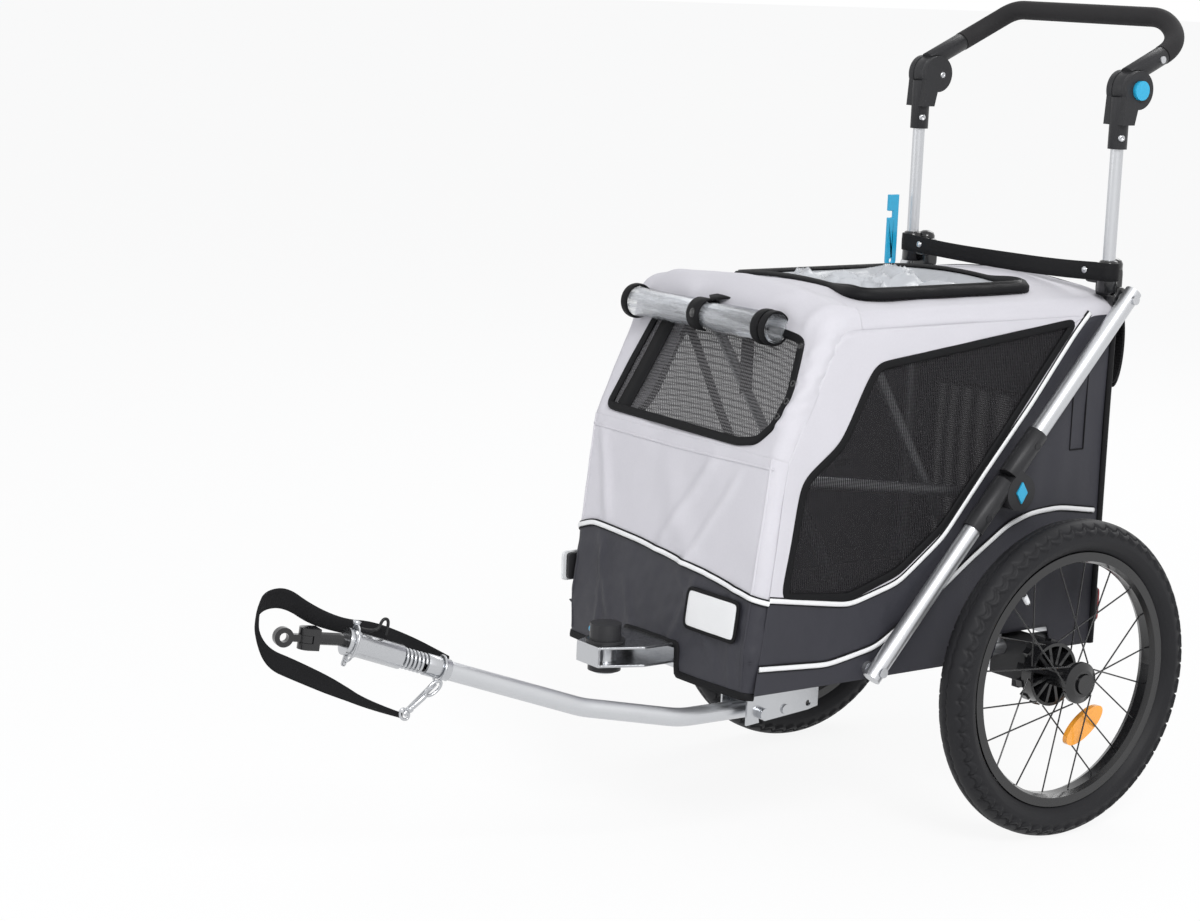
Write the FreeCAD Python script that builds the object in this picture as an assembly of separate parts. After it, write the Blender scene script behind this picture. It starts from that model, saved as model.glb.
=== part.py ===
"""A folding pet bicycle trailer, built piece by piece in millimetres.

Every size below is measured from the middle of the wheel axle: x to the trailer's left, y to the rear and
z up. When a piece is written out it is lifted by the wheel's radius and moved along y, so that the finished
part stands on the ground with its origin under the middle of the whole trailer.
"""
import FreeCAD, Part
import math
import os

# Wheels, sixteen inch
wheel_radius = 200.0
wheel_side_gap = 74.0
tyre_section = 47.0
tyre_depth = 43.0
rim_width = 27.0
rim_depth = 10.0
rim_wall = 2.4
rim_lip = 4.0
spoke_radius = 1.0
spokes_per_flange = 10
spoke_cross_deg = 42.0
spoke_stagger = 1.7
spoke_phase_deg = 8.0
spoke_seat = 0.9
valve_radius = 3.0
valve_length = 34.0
valve_at_deg = 35.0
wheel_reflector_length = 70.0
wheel_reflector_width = 30.0
wheel_reflector_depth = 7.0
wheel_reflector_radius_share = 0.49
wheel_reflector_lean_share = 0.395
wheel_reflector_at_deg = -62.0
wheel_reflector_tilt_deg = 33.0

# Hubs and stub axles
hub_barrel_radius = 13.0
hub_drum_radius = 40.0
hub_drum_depth = 16.0
hub_drum_web = 4.0
hub_drum_windows = 12
hub_flange_radius = 26.0
hub_flange_depth = 5.0
hub_inner_inset = 33.0
hub_outer_inset = 29.0
hub_teeth = 12
hub_tooth_length = 8.0
hub_tooth_depth = 7.0
hub_tooth_share = 0.42
hub_recess_radius = 13.0
hub_recess_depth = 7.0
stub_radius = 6.0
stub_fit = 0.05
cap_button_radius = 12.0
cap_button_stem_radius = 3.0
cap_button_travel = 2.5
cap_button_proud = 3.0

# Body and fabric
body_half_width = 183.0
fabric = 2.0
hem_z = 14.0
eave_z = 456.0
crown_z = 470.0
front_bottom_y = -453.0
ledge_y = -419.0
ledge_z = 294.0
top_front_y = -345.0
rear_wall_y = 126.0
arch_half_width = 52.0
arch_z = 44.0
arch_top_share = 0.8
corner_notch_gap = 1.0
socket_notch_half_width = 49.0
socket_notch_z = 56.0
seam_gap = 0.5
pivot_hole_radius = 11.5

# Frame tubes inside the body
rail_radius = 10.0
rail_z = 22.5
rail_gap = 5.0
front_tube_gap = 9.0
middle_tube_y = -292.0
tube_wall = 1.8
floor_board = 4.0
floor_board_gap = 0.3

# Rear hoop and posts
rear_y = 110.0
leg_radius = 9.0
leg_top_z = 445.0
leg_bend = 30.0
fold_pivot_z = 80.0
fold_pin_radius = 4.0
ear_plate = 3.0
ear_gap = 0.5
ear_half_width = 9.0
post_inset = 3.0
post_y = 109.0
post_radius = 8.0
post_foot_z = 470.0
post_top_z = 676.0

# Corner brackets, cross band and latch hook
corner_width = 39.0
corner_overhang = 6.0
corner_front_y = 94.0
corner_back_y = 139.0
corner_bottom_z = 440.0
corner_top_z = 500.0
corner_cap_radius = 12.0
corner_cap_top_z = 512.0
fit_gap = 0.1
band_height = 22.0
band_thickness = 2.5
band_top_z = 503.0
band_sag = 5.0
band_steps = 8
hook_plate = 4.0
hook_width = 18.0
hook_pivot_y = 74.0
hook_pivot_z = 468.0
hook_top_z = 557.0
hook_notch = 9.0
hook_notch_z = 535.0
hook_pin_radius = 3.0
hook_fork_plate = 3.0
hook_fork_gap = 0.4

# Diagonal struts and their knuckles
strut_radius = 11.0
strut_gap = 4.5
lower_pivot_y = -262.0
lower_pivot_z = 28.0
upper_pivot_y = 127.0
upper_pivot_z = 460.0
knuckle_along = 290.6
knuckle_offset = 20.9
knuckle_radius = 23.0
knuckle_half_width = 13.5
knuckle_split_gap = 0.3
knuckle_clear = 0.6
knuckle_pin_reach = 5.0
web_share = 0.9
lower_screw_along = 56.0
upper_screw_along = 57.0
lower_sleeve_start = 76.0
lower_sleeve_end = 2.0
upper_sleeve_start = 8.0
upper_sleeve_end = 75.0
sleeve_tube_end = 27.0
strut_pin_radius = 4.0
strut_pin_fit = 0.05
strut_end_overhang = 12.0
rivet_head_radius = 6.0
rivet_head_height = 2.5
screw_head_radius = 4.5
screw_head_height = 2.0
diamond_half_length = 14.0
diamond_half_width = 9.0
diamond_depth = 8.0
diamond_proud = 2.0
diamond_travel = 2.5
diamond_fit = 0.4

# Inner hoops
hoop_radius = 7.0
hoop_pin_radius = 3.0
hoop_gap = 2.0
front_hoop_foot_y = -30.0
front_hoop_foot_z = 46.0
front_hoop_bend_y = -248.0
front_hoop_bend_z = 394.0
front_hoop_top_y = -326.0
front_hoop_top_z = 456.0
hoop_bend = 45.0
ledge_hoop_rear_y = -95.0
ledge_hoop_rear_z = 226.0
ledge_hoop_front_y = -404.0
ledge_hoop_front_z = 266.0
hoop_rivet_radius = 2.5

# Handle
handle_hub_y = 124.0
handle_hub_z = 719.0
handle_hub_radius = 24.0
handle_hub_half_width = 17.0
handle_cheek = 9.0
handle_hub_gap = 0.4
handle_socket_radius = 12.0
handle_socket_bottom_z = 646.0
handle_arm_deg = 24.6
handle_arm_radius = 12.0
handle_arm_offset = 17.0
handle_arm_start = 2.0
handle_arm_end = 66.0
handle_arm_screw = 54.0
handle_bend_reach = 108.0
handle_top_back = 11.9
handle_top_rise = 28.3
handle_top_inset = 48.0
handle_bar_radius = 9.5
handle_bar_bend = 60.0
grip_radius = 12.5
handle_pin_radius = 4.0
push_button_radius = 12.0
push_button_proud = 5.0
push_button_depth = 4.0
push_button_travel = 3.0
push_button_fit = 0.4

# Axle tube, receivers and parking brake
axle_tube_radius = 11.0
axle_overhang = 7.0
receiver_wall = 7.0
receiver_half_length = 21.0
receiver_top_z = 36.0
receiver_bottom_z = -15.0
brake_rod_y = 45.0
brake_rod_z = -28.0
brake_rod_radius = 5.0
brake_lug_thickness = 12.0
brake_lug_wall = 6.0
brake_pin_radius = 3.0
brake_arm = 28.0
brake_half_swing_deg = 11.0
brake_arm_thickness = 5.0
brake_arm_gap = 0.6
brake_pedal_width = 60.0
brake_pedal_length = 60.0
brake_pedal_thickness = 5.0
brake_pedal_x = 40.0

# Front wheel socket
socket_y = -519.0
socket_front_y = -545.0
socket_shoulder_y = -492.0
socket_front_half = 22.0
socket_rear_half = 44.0
socket_plate = 3.0
socket_top_z = 49.0
socket_bottom_z = 24.0
socket_bore_radius = 11.0
socket_bush_wall = 3.0
socket_bush_bottom_z = 12.0
socket_bush_top_z = 68.0
socket_cap_radius = 19.0
socket_cap_flange = 24.0
socket_cap_flange_height = 4.0
socket_cap_wall = 4.0
socket_collar_radius = 20.0
socket_collar_height = 9.0
socket_button_radius = 4.0
socket_button_length = 15.0
socket_button_travel = 3.0
socket_button_z = 59.0

# Tow bracket
bracket_inset = 58.0
bracket_half_width = 25.0
bracket_plate = 3.0
bracket_front_y = -418.0
bracket_rear_y = -308.0
bracket_top_z = 4.0
bracket_front_bottom_z = -32.0
bracket_rear_bottom_z = -21.0
bracket_spare_y = -323.0
bracket_spare_z = -16.0
bracket_spare_radius = 4.0
bracket_bearer_radius = 7.0

# Tow bar
tow_radius = 11.0
tow_wall = 2.0
tow_pivot_y = -359.0
tow_pivot_z = -19.0
tow_lock_y = -396.0
tow_bolt_radius = 4.0
tow_bolt_fit = 0.05
tow_rear_overhang = 16.0
tow_bend = 110.0
tow_first_y = -500.0
tow_first_z = -17.0
tow_bend_x = 97.0
tow_bend_y = -622.0
tow_bend_z = 5.0
tow_front_x = 65.0
tow_front_y = -818.0
tow_front_z = 73.0
lock_pin_head = 7.0
lock_pin_head_length = 8.0
lock_slot_gap = 0.3
lock_slot_deg = 40.0
lock_slot_steps = 16

# Spring, hitch socket and coupler
hitch_x = 50.0
hitch_y = -913.0
hitch_z = 107.0
collar_radius = 12.5
collar_length = 30.0
spring_length = 32.0
spring_radius = 10.5
spring_wire = 1.8
spring_turns = 5.5
spring_core_radius = 6.0
hitch_radius = 14.0
hitch_length = 70.0
hitch_bore_radius = 7.1
hitch_bore_depth = 34.0
hitch_lip = 14.0
hitch_lip_radius = 15.5
stem_radius = 7.0
stem_length = 26.0
stem_neck = 7.0
stem_slope_deg = 7.0
fork_width = 20.0
fork_height = 24.0
fork_tongue = 8.0
fork_gap = 0.4
fork_pin_radius = 3.5
fork_length = 24.0
coupler_reach = 28.0
coupler_ring_radius = 11.0
coupler_hole_radius = 5.2
coupler_plate = 8.0
hitch_pin_radius = 3.0
hitch_pin_up = 12.0
hitch_pin_fit = 0.08
lanyard_radius = 1.8
lanyard_height = 18.0
lanyard_width = 10.0
lanyard_reach = 28.0

# Tether
strap_width = 25.0
strap_thickness = 1.8
tether_ring_radius = 13.5
tether_wire = 1.5
snap_radius = 3.5
snap_seat_share = 0.8
strap_front_y = -1020.9
strap_route = [
    (52, -777, 68), (47, -805, 84), (43, -835, 98), (37, -869, 112), (32, -900, 117), (30, -944, 135),
    (31, -977, 159), (33, -1004, 161), (40, -1020, 150), (47, -1016, 102), (54, -973, 81), (62, -926, 56),
    (67, -891, 35), (72, -850, 19),
]
strap_height_shares = [0.5, 0.6, 0.7, 0.75, 0.7, 0.95, 1.0, 1.0, 1.0, 0.85, 1.0, 1.0, 0.8, 0.4]

# Windows, covers and trim
door_inset = 43.0
door_bottom_z = 40.0
door_top_z = 315.0
roof_window_inset = 61.0
roof_window_front_y = -248.0
roof_window_rear_y = 14.0
roll_radius = 19.0
roll_right_inset = 27.0
roll_left_inset = 64.0
roll_strap_x = -15.0
roll_height_share = 0.82
rear_roll_depth = 34.0
rear_roll_height = 118.0
rear_roll_z = 382.0
rear_roll_inset = 27.0
piping_width = 5.0
piping_depth = 1.6
patch_inset = 75.0
patch_z = 97.0
patch_half_width = 42.0
patch_half_height = 15.0
trim_depth = 1.2
side_reflector_y = -425.0
side_reflector_z = 96.0
side_reflector_half_height = 20.0
side_reflector_half_length = 24.0
side_reflector_depth = 9.0
rear_reflector_inset = 23.0
rear_reflector_z = 66.0
rear_reflector_half_width = 17.0
rear_reflector_half_height = 22.0
rear_reflector_depth = 8.0

# Outlines on the side wall, the front and the hood, as shares of their length and height
window_shares = [
    (0.309, 0.86), (0.226, 0.652), (0.133, 0.566), (0.0915, 0.26), (0.266, 0.2376), (0.399, 0.29),
    (0.52, 0.4), (0.636, 0.575), (0.874, 0.946),
]
piping_shares = [
    (0.0, 0.257), (0.2677, 0.217), (0.4007, 0.26), (0.5216, 0.371), (0.6373, 0.5475), (0.758, 0.724),
    (0.879, 0.9186), (0.917, 0.97),
]
low_piping_shares = [
    (0.0, 0.078), (0.2176, 0.0588), (0.349, 0.088), (0.482, 0.188), (0.6045, 0.296), (0.7168, 0.385),
    (0.7807, 0.4095), (0.8636, 0.4163), (0.9724, 0.396),
]
split_shares = [(-1.0, 0.296), (-0.75, 0.333), (-0.27, 0.3215), (0.4, 0.292), (1.0, 0.2535)]
hood_window_shares = [
    (-0.856, 0.086), (0.564, 0.037), (0.83, 0.15), (0.966, 0.41), (0.856, 0.78), (-0.669, 0.71), (-0.768, 0.5),
]

# Extra length that lets a cut run clean through what it cuts
overrun = 1.0

# Places that follow from the sizes above
axle_z = 0.0
wheel_x = body_half_width + wheel_side_gap
wall_x = body_half_width - fabric
rail_x = wall_x - rail_gap - rail_radius
leg_x = rail_x
front_tube_y = front_bottom_y + fabric + front_tube_gap + rail_radius
strut_x = body_half_width + strut_gap + knuckle_half_width
front_hoop_x = rail_x - rail_radius - hoop_gap - hoop_radius
ledge_hoop_x = front_hoop_x + hoop_radius + hoop_gap + hoop_radius
post_x = body_half_width - post_inset
handle_x = post_x
corner_outer_x = body_half_width + corner_overhang
corner_inner_x = corner_outer_x - corner_width
axle_tube_half = body_half_width + axle_overhang
tooth_x = wheel_x - hub_inner_inset - hub_tooth_length
brake_arm_x = tooth_x - brake_arm_gap - brake_arm_thickness
receiver_inner_x = rail_x - rail_radius - receiver_wall
receiver_outer_x = brake_arm_x - brake_arm_gap
bracket_x = body_half_width - bracket_inset
door_half_width = body_half_width - door_inset
roof_window_half_width = body_half_width - roof_window_inset
roll_right_x = roll_right_inset - body_half_width
roll_left_x = body_half_width - roll_left_inset
rear_roll_half_width = body_half_width - rear_roll_inset
patch_x = body_half_width - patch_inset
rear_reflector_x = body_half_width - rear_reflector_inset
strut_length = math.hypot(upper_pivot_y - lower_pivot_y, upper_pivot_z - lower_pivot_z)
strut_angle = math.atan2(upper_pivot_z - lower_pivot_z, upper_pivot_y - lower_pivot_y)
handle_lean = math.radians(handle_arm_deg)
handle_top_y = (handle_hub_y + handle_bend_reach * math.cos(handle_lean) - handle_arm_offset * math.sin(handle_lean)
                + handle_top_back)
grip_rear_y = handle_top_y + grip_radius
door_hinge_z = door_bottom_z + seam_gap + fabric / 2
shift_y = -(strap_front_y + grip_rear_y) / 2
os.makedirs("parts", exist_ok=True)


def vec(x, y, z):
    """A point or a direction."""
    return FreeCAD.Vector(x, y, z)


AXIS_X = vec(1, 0, 0)
AXIS_Y = vec(0, 1, 0)
AXIS_Z = vec(0, 0, 1)


def box(x0, x1, y0, y1, z0, z1):
    """A block between two values on each axis."""
    return Part.makeBox(x1 - x0, y1 - y0, z1 - z0, vec(x0, y0, z0))


def rod(start, end, radius):
    """A round bar between two points."""
    return Part.makeCylinder(radius, (end - start).Length, start, end - start)


def cross_rod(x0, x1, y, z, radius):
    """A round bar along x."""
    return rod(vec(x0, y, z), vec(x1, y, z), radius)


def outline_face(points):
    """A flat face inside straight edges."""
    return Part.Face(Part.makePolygon(points + [points[0]]))


def side_plate(outline, x0, x1):
    """A plate that stands in the y and z directions, given by (y, z) corners."""
    return outline_face([vec(x0, y, z) for y, z in outline]).extrude(vec(x1 - x0, 0, 0))


def flat_plate(outline, z0, z1):
    """A plate that lies flat, given by (x, y) corners."""
    return outline_face([vec(x, y, z0) for x, y in outline]).extrude(vec(0, 0, z1 - z0))


def turned(profile, y, z):
    """A solid of revolution about a line along x, from (x, radius) corners."""
    face = outline_face([vec(x, r, 0) for x, r in profile])
    solid = face.revolve(vec(0, 0, 0), AXIS_X, 360)
    solid.translate(vec(0, y, z))
    return solid


def rounded_path(points, bend):
    """A wire of straight runs joined by tangent arcs."""
    edges = []
    start = points[0]
    for i in range(1, len(points) - 1):
        corner = points[i]
        back = (points[i - 1] - corner).normalize()
        ahead = (points[i + 1] - corner).normalize()
        half = math.acos(max(-1, min(1, back.dot(ahead)))) / 2
        reach = bend / math.tan(half)
        first = corner + back * reach
        last = corner + ahead * reach
        inward = (back + ahead).normalize()
        middle = corner + inward * (bend / math.sin(half) - bend)
        edges.append(Part.LineSegment(start, first).toShape())
        edges.append(Part.Arc(first, middle, last).toShape())
        start = last
    edges.append(Part.LineSegment(start, points[-1]).toShape())
    return Part.Wire(edges)


def bent_bar(points, radius, bend):
    """A solid round bar along a rounded path."""
    path = rounded_path(points, bend)
    ring = Part.Wire(Part.makeCircle(radius, points[0], points[1] - points[0]))
    return path.makePipeShell([ring], True, False)


def mirrored(shape):
    """The same shape on the other side of the trailer."""
    return shape.mirror(vec(0, 0, 0), AXIS_X)


def pair(shape):
    """A shape and its twin on the other side."""
    return [shape, mirrored(shape)]


def joined(first, *others):
    """Shapes welded into one solid."""
    whole = first.fuse(list(others))
    tidy = whole.removeSplitter()
    return tidy if tidy.isValid() else whole


def holed(shape, *cutters):
    """A shape with others taken out of it."""
    for cutter in cutters:
        shape = shape.cut(cutter)
    return shape


def save(name, *shapes):
    """Write one named piece, lifted onto its wheels and moved to the trailer's own origin."""
    solids = [solid for shape in shapes for solid in shape.Solids]
    moved = Part.makeCompound(solids)
    moved.translate(vec(0, shift_y, wheel_radius))
    out = moved.Solids[0] if len(solids) == 1 else moved
    good = all(s.isValid() and s.Volume > 0 for s in moved.Solids)
    print(f"{name}: {len(solids)} solids, {moved.Volume / 1000:.1f} cm3" + ("" if good else " BAD"))
    out.exportStep(f"parts/{name}.step")


def line_point(along, offset=0.0):
    """A (y, z) place measured up the strut line and square to it towards the front."""
    y = lower_pivot_y + along * math.cos(strut_angle) - offset * math.sin(strut_angle)
    z = lower_pivot_z + along * math.sin(strut_angle) + offset * math.cos(strut_angle)
    return y, z


knuckle_y, knuckle_z = line_point(knuckle_along, -knuckle_offset)


def strut_bar(start, end, radius, x=strut_x):
    """A round bar on the strut line between two distances from the lower pivot."""
    y0, z0 = line_point(start)
    y1, z1 = line_point(end)
    return rod(vec(x, y0, z0), vec(x, y1, z1), radius)


def make_wheel(side):
    """Tyre, rim, spokes, hub and reflector of the left or the right wheel."""
    name = "left" if side > 0 else "right"
    place = (lambda shape: shape) if side > 0 else mirrored
    half = tyre_section / 2
    bead = wheel_radius - tyre_depth
    shoulder = wheel_radius - tyre_depth / 3
    tread = half / 2
    seat = rim_width / 2 - rim_wall
    lip = bead + rim_lip + seam_gap
    tyre = turned([
        (wheel_x - seat, bead),
        (wheel_x - seat, lip),
        (wheel_x - half + tyre_section / 12, lip + tyre_depth / 24),
        (wheel_x - half, bead + tyre_depth / 2),
        (wheel_x - half + tyre_section / 14, shoulder),
        (wheel_x - tread, wheel_radius - tyre_depth / 24),
        (wheel_x - tread / 3, wheel_radius),
        (wheel_x + tread / 3, wheel_radius),
        (wheel_x + tread, wheel_radius - tyre_depth / 24),
        (wheel_x + half - tyre_section / 14, shoulder),
        (wheel_x + half, bead + tyre_depth / 2),
        (wheel_x + half - tyre_section / 12, lip + tyre_depth / 24),
        (wheel_x + seat, lip),
        (wheel_x + seat, bead),
    ], 0, axle_z)
    save(f"tyre_{name}", place(tyre))

    outer = bead - seam_gap
    inner = outer - rim_depth
    wide = rim_width / 2
    rim = turned([
        (wheel_x - wide, bead + rim_lip),
        (wheel_x - wide, inner + rim_depth / 3),
        (wheel_x - wide / 2, inner),
        (wheel_x + wide / 2, inner),
        (wheel_x + wide, inner + rim_depth / 3),
        (wheel_x + wide, bead + rim_lip),
        (wheel_x + wide - rim_wall + fit_gap, bead + rim_lip),
        (wheel_x + wide - rim_wall + fit_gap, outer),
        (wheel_x - wide + rim_wall - fit_gap, outer),
        (wheel_x - wide + rim_wall - fit_gap, bead + rim_lip),
    ], 0, axle_z)
    rim = rim.cut(turned([
        (wheel_x - wide + rim_wall, outer - rim_wall),
        (wheel_x - wide + rim_wall, inner + rim_depth / 2),
        (wheel_x - wide / 2, inner + rim_wall),
        (wheel_x + wide / 2, inner + rim_wall),
        (wheel_x + wide - rim_wall, inner + rim_depth / 2),
        (wheel_x + wide - rim_wall, outer - rim_wall),
    ], 0, axle_z))
    valve = rod(vec(wheel_x, 0, inner + rim_wall), vec(wheel_x, 0, inner - valve_length + rim_depth), valve_radius)
    valve.translate(vec(0, 0, axle_z))
    valve.rotate(vec(wheel_x, 0, axle_z), AXIS_X, valve_at_deg)
    rim = rim.cut(valve)
    save(f"rim_{name}", place(rim), place(valve))

    drum_x = wheel_x - hub_inner_inset
    flange_x = wheel_x + hub_outer_inset
    save_hub(name, place, drum_x, flange_x)

    spokes = []
    for flange, at_x, reach in ((0, drum_x + hub_drum_depth, hub_drum_radius), (1, flange_x, hub_flange_radius)):
        for i in range(spokes_per_flange):
            turn = 360 / spokes_per_flange * (i + flange / 2) + spoke_phase_deg
            lean = spoke_cross_deg if i % 2 else -spoke_cross_deg
            foot = math.radians(turn + lean)
            head = math.radians(turn)
            root = reach + spoke_seat
            tip = inner - spoke_seat
            offset = spoke_stagger if i % 2 else -spoke_stagger
            start = vec(at_x - hub_flange_depth / 2 + offset, root * math.cos(foot), axle_z + root * math.sin(foot))
            end = vec(wheel_x + offset, tip * math.cos(head), axle_z + tip * math.sin(head))
            spokes.append(place(rod(start, end, spoke_radius)))
    save(f"spokes_{name}", *spokes)

    centre = inner * wheel_reflector_radius_share
    lens = Part.makeCylinder(wheel_reflector_width / 2, wheel_reflector_depth, vec(0, 0, 0), AXIS_X)
    stretch = FreeCAD.Matrix()
    stretch.A22 = wheel_reflector_length / wheel_reflector_width
    lens = lens.transformGeometry(stretch)
    lens.rotate(vec(0, 0, 0), AXIS_X, wheel_reflector_tilt_deg)
    at = math.radians(wheel_reflector_at_deg)
    lens.translate(vec(wheel_x + wheel_reflector_depth * wheel_reflector_lean_share, centre * math.cos(at), axle_z + centre * math.sin(at)))
    save(f"wheel_reflector_{name}", place(lens))


def save_hub(name, place, drum_x, flange_x):
    """Hub with a windowed drum, a toothed brake ring and an outer flange."""
    hub = turned([
        (drum_x, stub_radius + stub_fit),
        (drum_x, hub_drum_radius),
        (drum_x + hub_drum_depth, hub_drum_radius),
        (drum_x + hub_drum_depth, hub_drum_radius - hub_drum_web),
        (drum_x + hub_drum_web, hub_drum_radius - hub_drum_web),
        (drum_x + hub_drum_web, hub_barrel_radius),
        (flange_x - hub_flange_depth, hub_barrel_radius),
        (flange_x - hub_flange_depth, hub_flange_radius),
        (flange_x, hub_flange_radius),
        (flange_x + hub_flange_depth, hub_recess_radius + hub_drum_web),
        (flange_x + hub_flange_depth, hub_recess_radius),
        (flange_x + hub_flange_depth - hub_recess_depth, hub_recess_radius),
        (flange_x + hub_flange_depth - hub_recess_depth, stub_radius + stub_fit),
    ], 0, axle_z)
    tooth_half = math.pi * hub_drum_radius / hub_teeth * hub_tooth_share
    window_half = math.pi * hub_drum_radius / hub_drum_windows * hub_tooth_share / 2
    tooth = box(tooth_x, drum_x + hub_drum_web / 2, -tooth_half, tooth_half,
                hub_drum_radius - hub_tooth_depth, hub_drum_radius + hub_drum_web / 2)
    rib = box(drum_x + hub_drum_web / 2, drum_x + hub_drum_depth, -window_half, window_half,
              hub_barrel_radius - hub_drum_web / 2, hub_drum_radius - hub_drum_web / 2)
    for i in range(hub_teeth):
        copy = tooth.copy()
        copy.translate(vec(0, 0, axle_z))
        copy.rotate(vec(0, 0, axle_z), AXIS_X, 360 / hub_teeth * (i + 0.5) + 90)
        web = rib.copy()
        web.translate(vec(0, 0, axle_z))
        web.rotate(vec(0, 0, axle_z), AXIS_X, 360 / hub_drum_windows * (i + 0.5) + 90)
        hub = hub.fuse([copy, web])
    save(f"hub_{name}", place(hub.removeSplitter()))


def make_axle():
    """Cross tube with its two stub axles, and the receivers that clamp it to the frame."""
    tube = cross_rod(-axle_tube_half, axle_tube_half, 0, axle_z, axle_tube_radius)
    tube = tube.cut(cross_rod(-axle_tube_half - overrun, axle_tube_half + overrun, 0, axle_z, stub_radius + fit_gap))
    flange_x = wheel_x + hub_outer_inset
    stub_end = flange_x + hub_flange_depth - hub_recess_depth
    stub = cross_rod(axle_tube_half - 4 * stub_radius, stub_end, 0, axle_z, stub_radius)
    bore = cap_button_stem_radius + fit_gap
    stub = stub.cut(cross_rod(stub_end - 2 * cap_button_radius, stub_end + overrun, 0, axle_z, bore))
    save("axle", tube, *pair(stub))

    block = box(receiver_inner_x, receiver_outer_x, -receiver_half_length, receiver_half_length,
                receiver_bottom_z, receiver_top_z)
    lug = box(receiver_inner_x, receiver_inner_x + brake_lug_thickness, receiver_half_length - overrun,
              brake_rod_y + brake_rod_radius + brake_lug_wall,
              brake_rod_z - brake_rod_radius - brake_lug_wall, axle_z)
    lug = lug.fuse(box(receiver_inner_x, receiver_inner_x + brake_lug_thickness, 0, receiver_half_length,
                       receiver_bottom_z - overrun, axle_z))
    receiver = joined(block, lug)
    receiver = holed(
        receiver,
        cross_rod(0, axle_tube_half + fit_gap, 0, axle_z, axle_tube_radius + fit_gap),
        cross_rod(0, receiver_outer_x + overrun, 0, axle_z, stub_radius + fit_gap),
        rod(vec(rail_x, front_tube_y, rail_z), vec(rail_x, rear_y, rail_z), rail_radius + fit_gap),
        cross_rod(0, receiver_outer_x, brake_rod_y, brake_rod_z, brake_rod_radius + stub_fit),
        box(body_half_width - fabric - fit_gap, receiver_outer_x + overrun, -wheel_radius, wheel_radius,
            arch_z, receiver_top_z + arch_z))
    save("axle_receivers", *pair(receiver))

    flange_end = flange_x + hub_flange_depth
    cap = cross_rod(flange_end - cap_button_travel + fit_gap, flange_end + cap_button_proud, 0, axle_z,
                    cap_button_radius)
    stem = cross_rod(stub_end - cap_button_radius, flange_end, 0, axle_z, cap_button_stem_radius)
    button = joined(cap, stem)
    save("axle_button_left", button)
    save("axle_button_right", mirrored(button))


def make_brake():
    """Parking brake: a cross rod with a pin at each hub's teeth and a foot pedal."""
    pin_inner = brake_arm_x
    rod_half = pin_inner + brake_arm_thickness
    bar = cross_rod(-rod_half, rod_half, brake_rod_y, brake_rod_z, brake_rod_radius)
    pin_y = brake_rod_y + brake_arm * math.sin(math.radians(brake_half_swing_deg))
    pin_z = brake_rod_z + brake_arm * math.cos(math.radians(brake_half_swing_deg))
    tip_x = wheel_x - hub_inner_inset - seam_gap
    pieces = []
    for side in (1, -1):
        arm = rod(vec(side * pin_inner, brake_rod_y, brake_rod_z),
                  vec(side * (pin_inner + brake_arm_thickness), brake_rod_y, brake_rod_z),
                  brake_rod_radius + brake_arm_thickness / 2)
        bar_y = brake_rod_y
        web = side_plate([
            (bar_y - brake_rod_radius, brake_rod_z),
            (bar_y + brake_rod_radius, brake_rod_z),
            (pin_y + brake_pin_radius, pin_z),
            (pin_y - brake_pin_radius, pin_z),
        ], side * pin_inner, side * (pin_inner + brake_arm_thickness))
        pin = cross_rod(min(side * pin_inner, side * tip_x), max(side * pin_inner, side * tip_x), pin_y, pin_z,
                        brake_pin_radius)
        pieces += [arm, web, pin]
    lever = box(brake_pedal_x - brake_rod_radius, brake_pedal_x + brake_rod_radius, brake_rod_y,
                brake_rod_y + brake_pedal_length, brake_rod_z - brake_pedal_thickness / 2,
                brake_rod_z + brake_pedal_thickness / 2)
    pedal = box(brake_pedal_x - brake_pedal_width / 2, brake_pedal_x + brake_pedal_width / 2,
                brake_rod_y + brake_pedal_length, brake_rod_y + brake_pedal_length + brake_pedal_width / 2,
                brake_rod_z - brake_pedal_thickness / 2, brake_rod_z + brake_pedal_thickness / 2)
    save("parking_brake", joined(bar, lever, pedal, *pieces))


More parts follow.
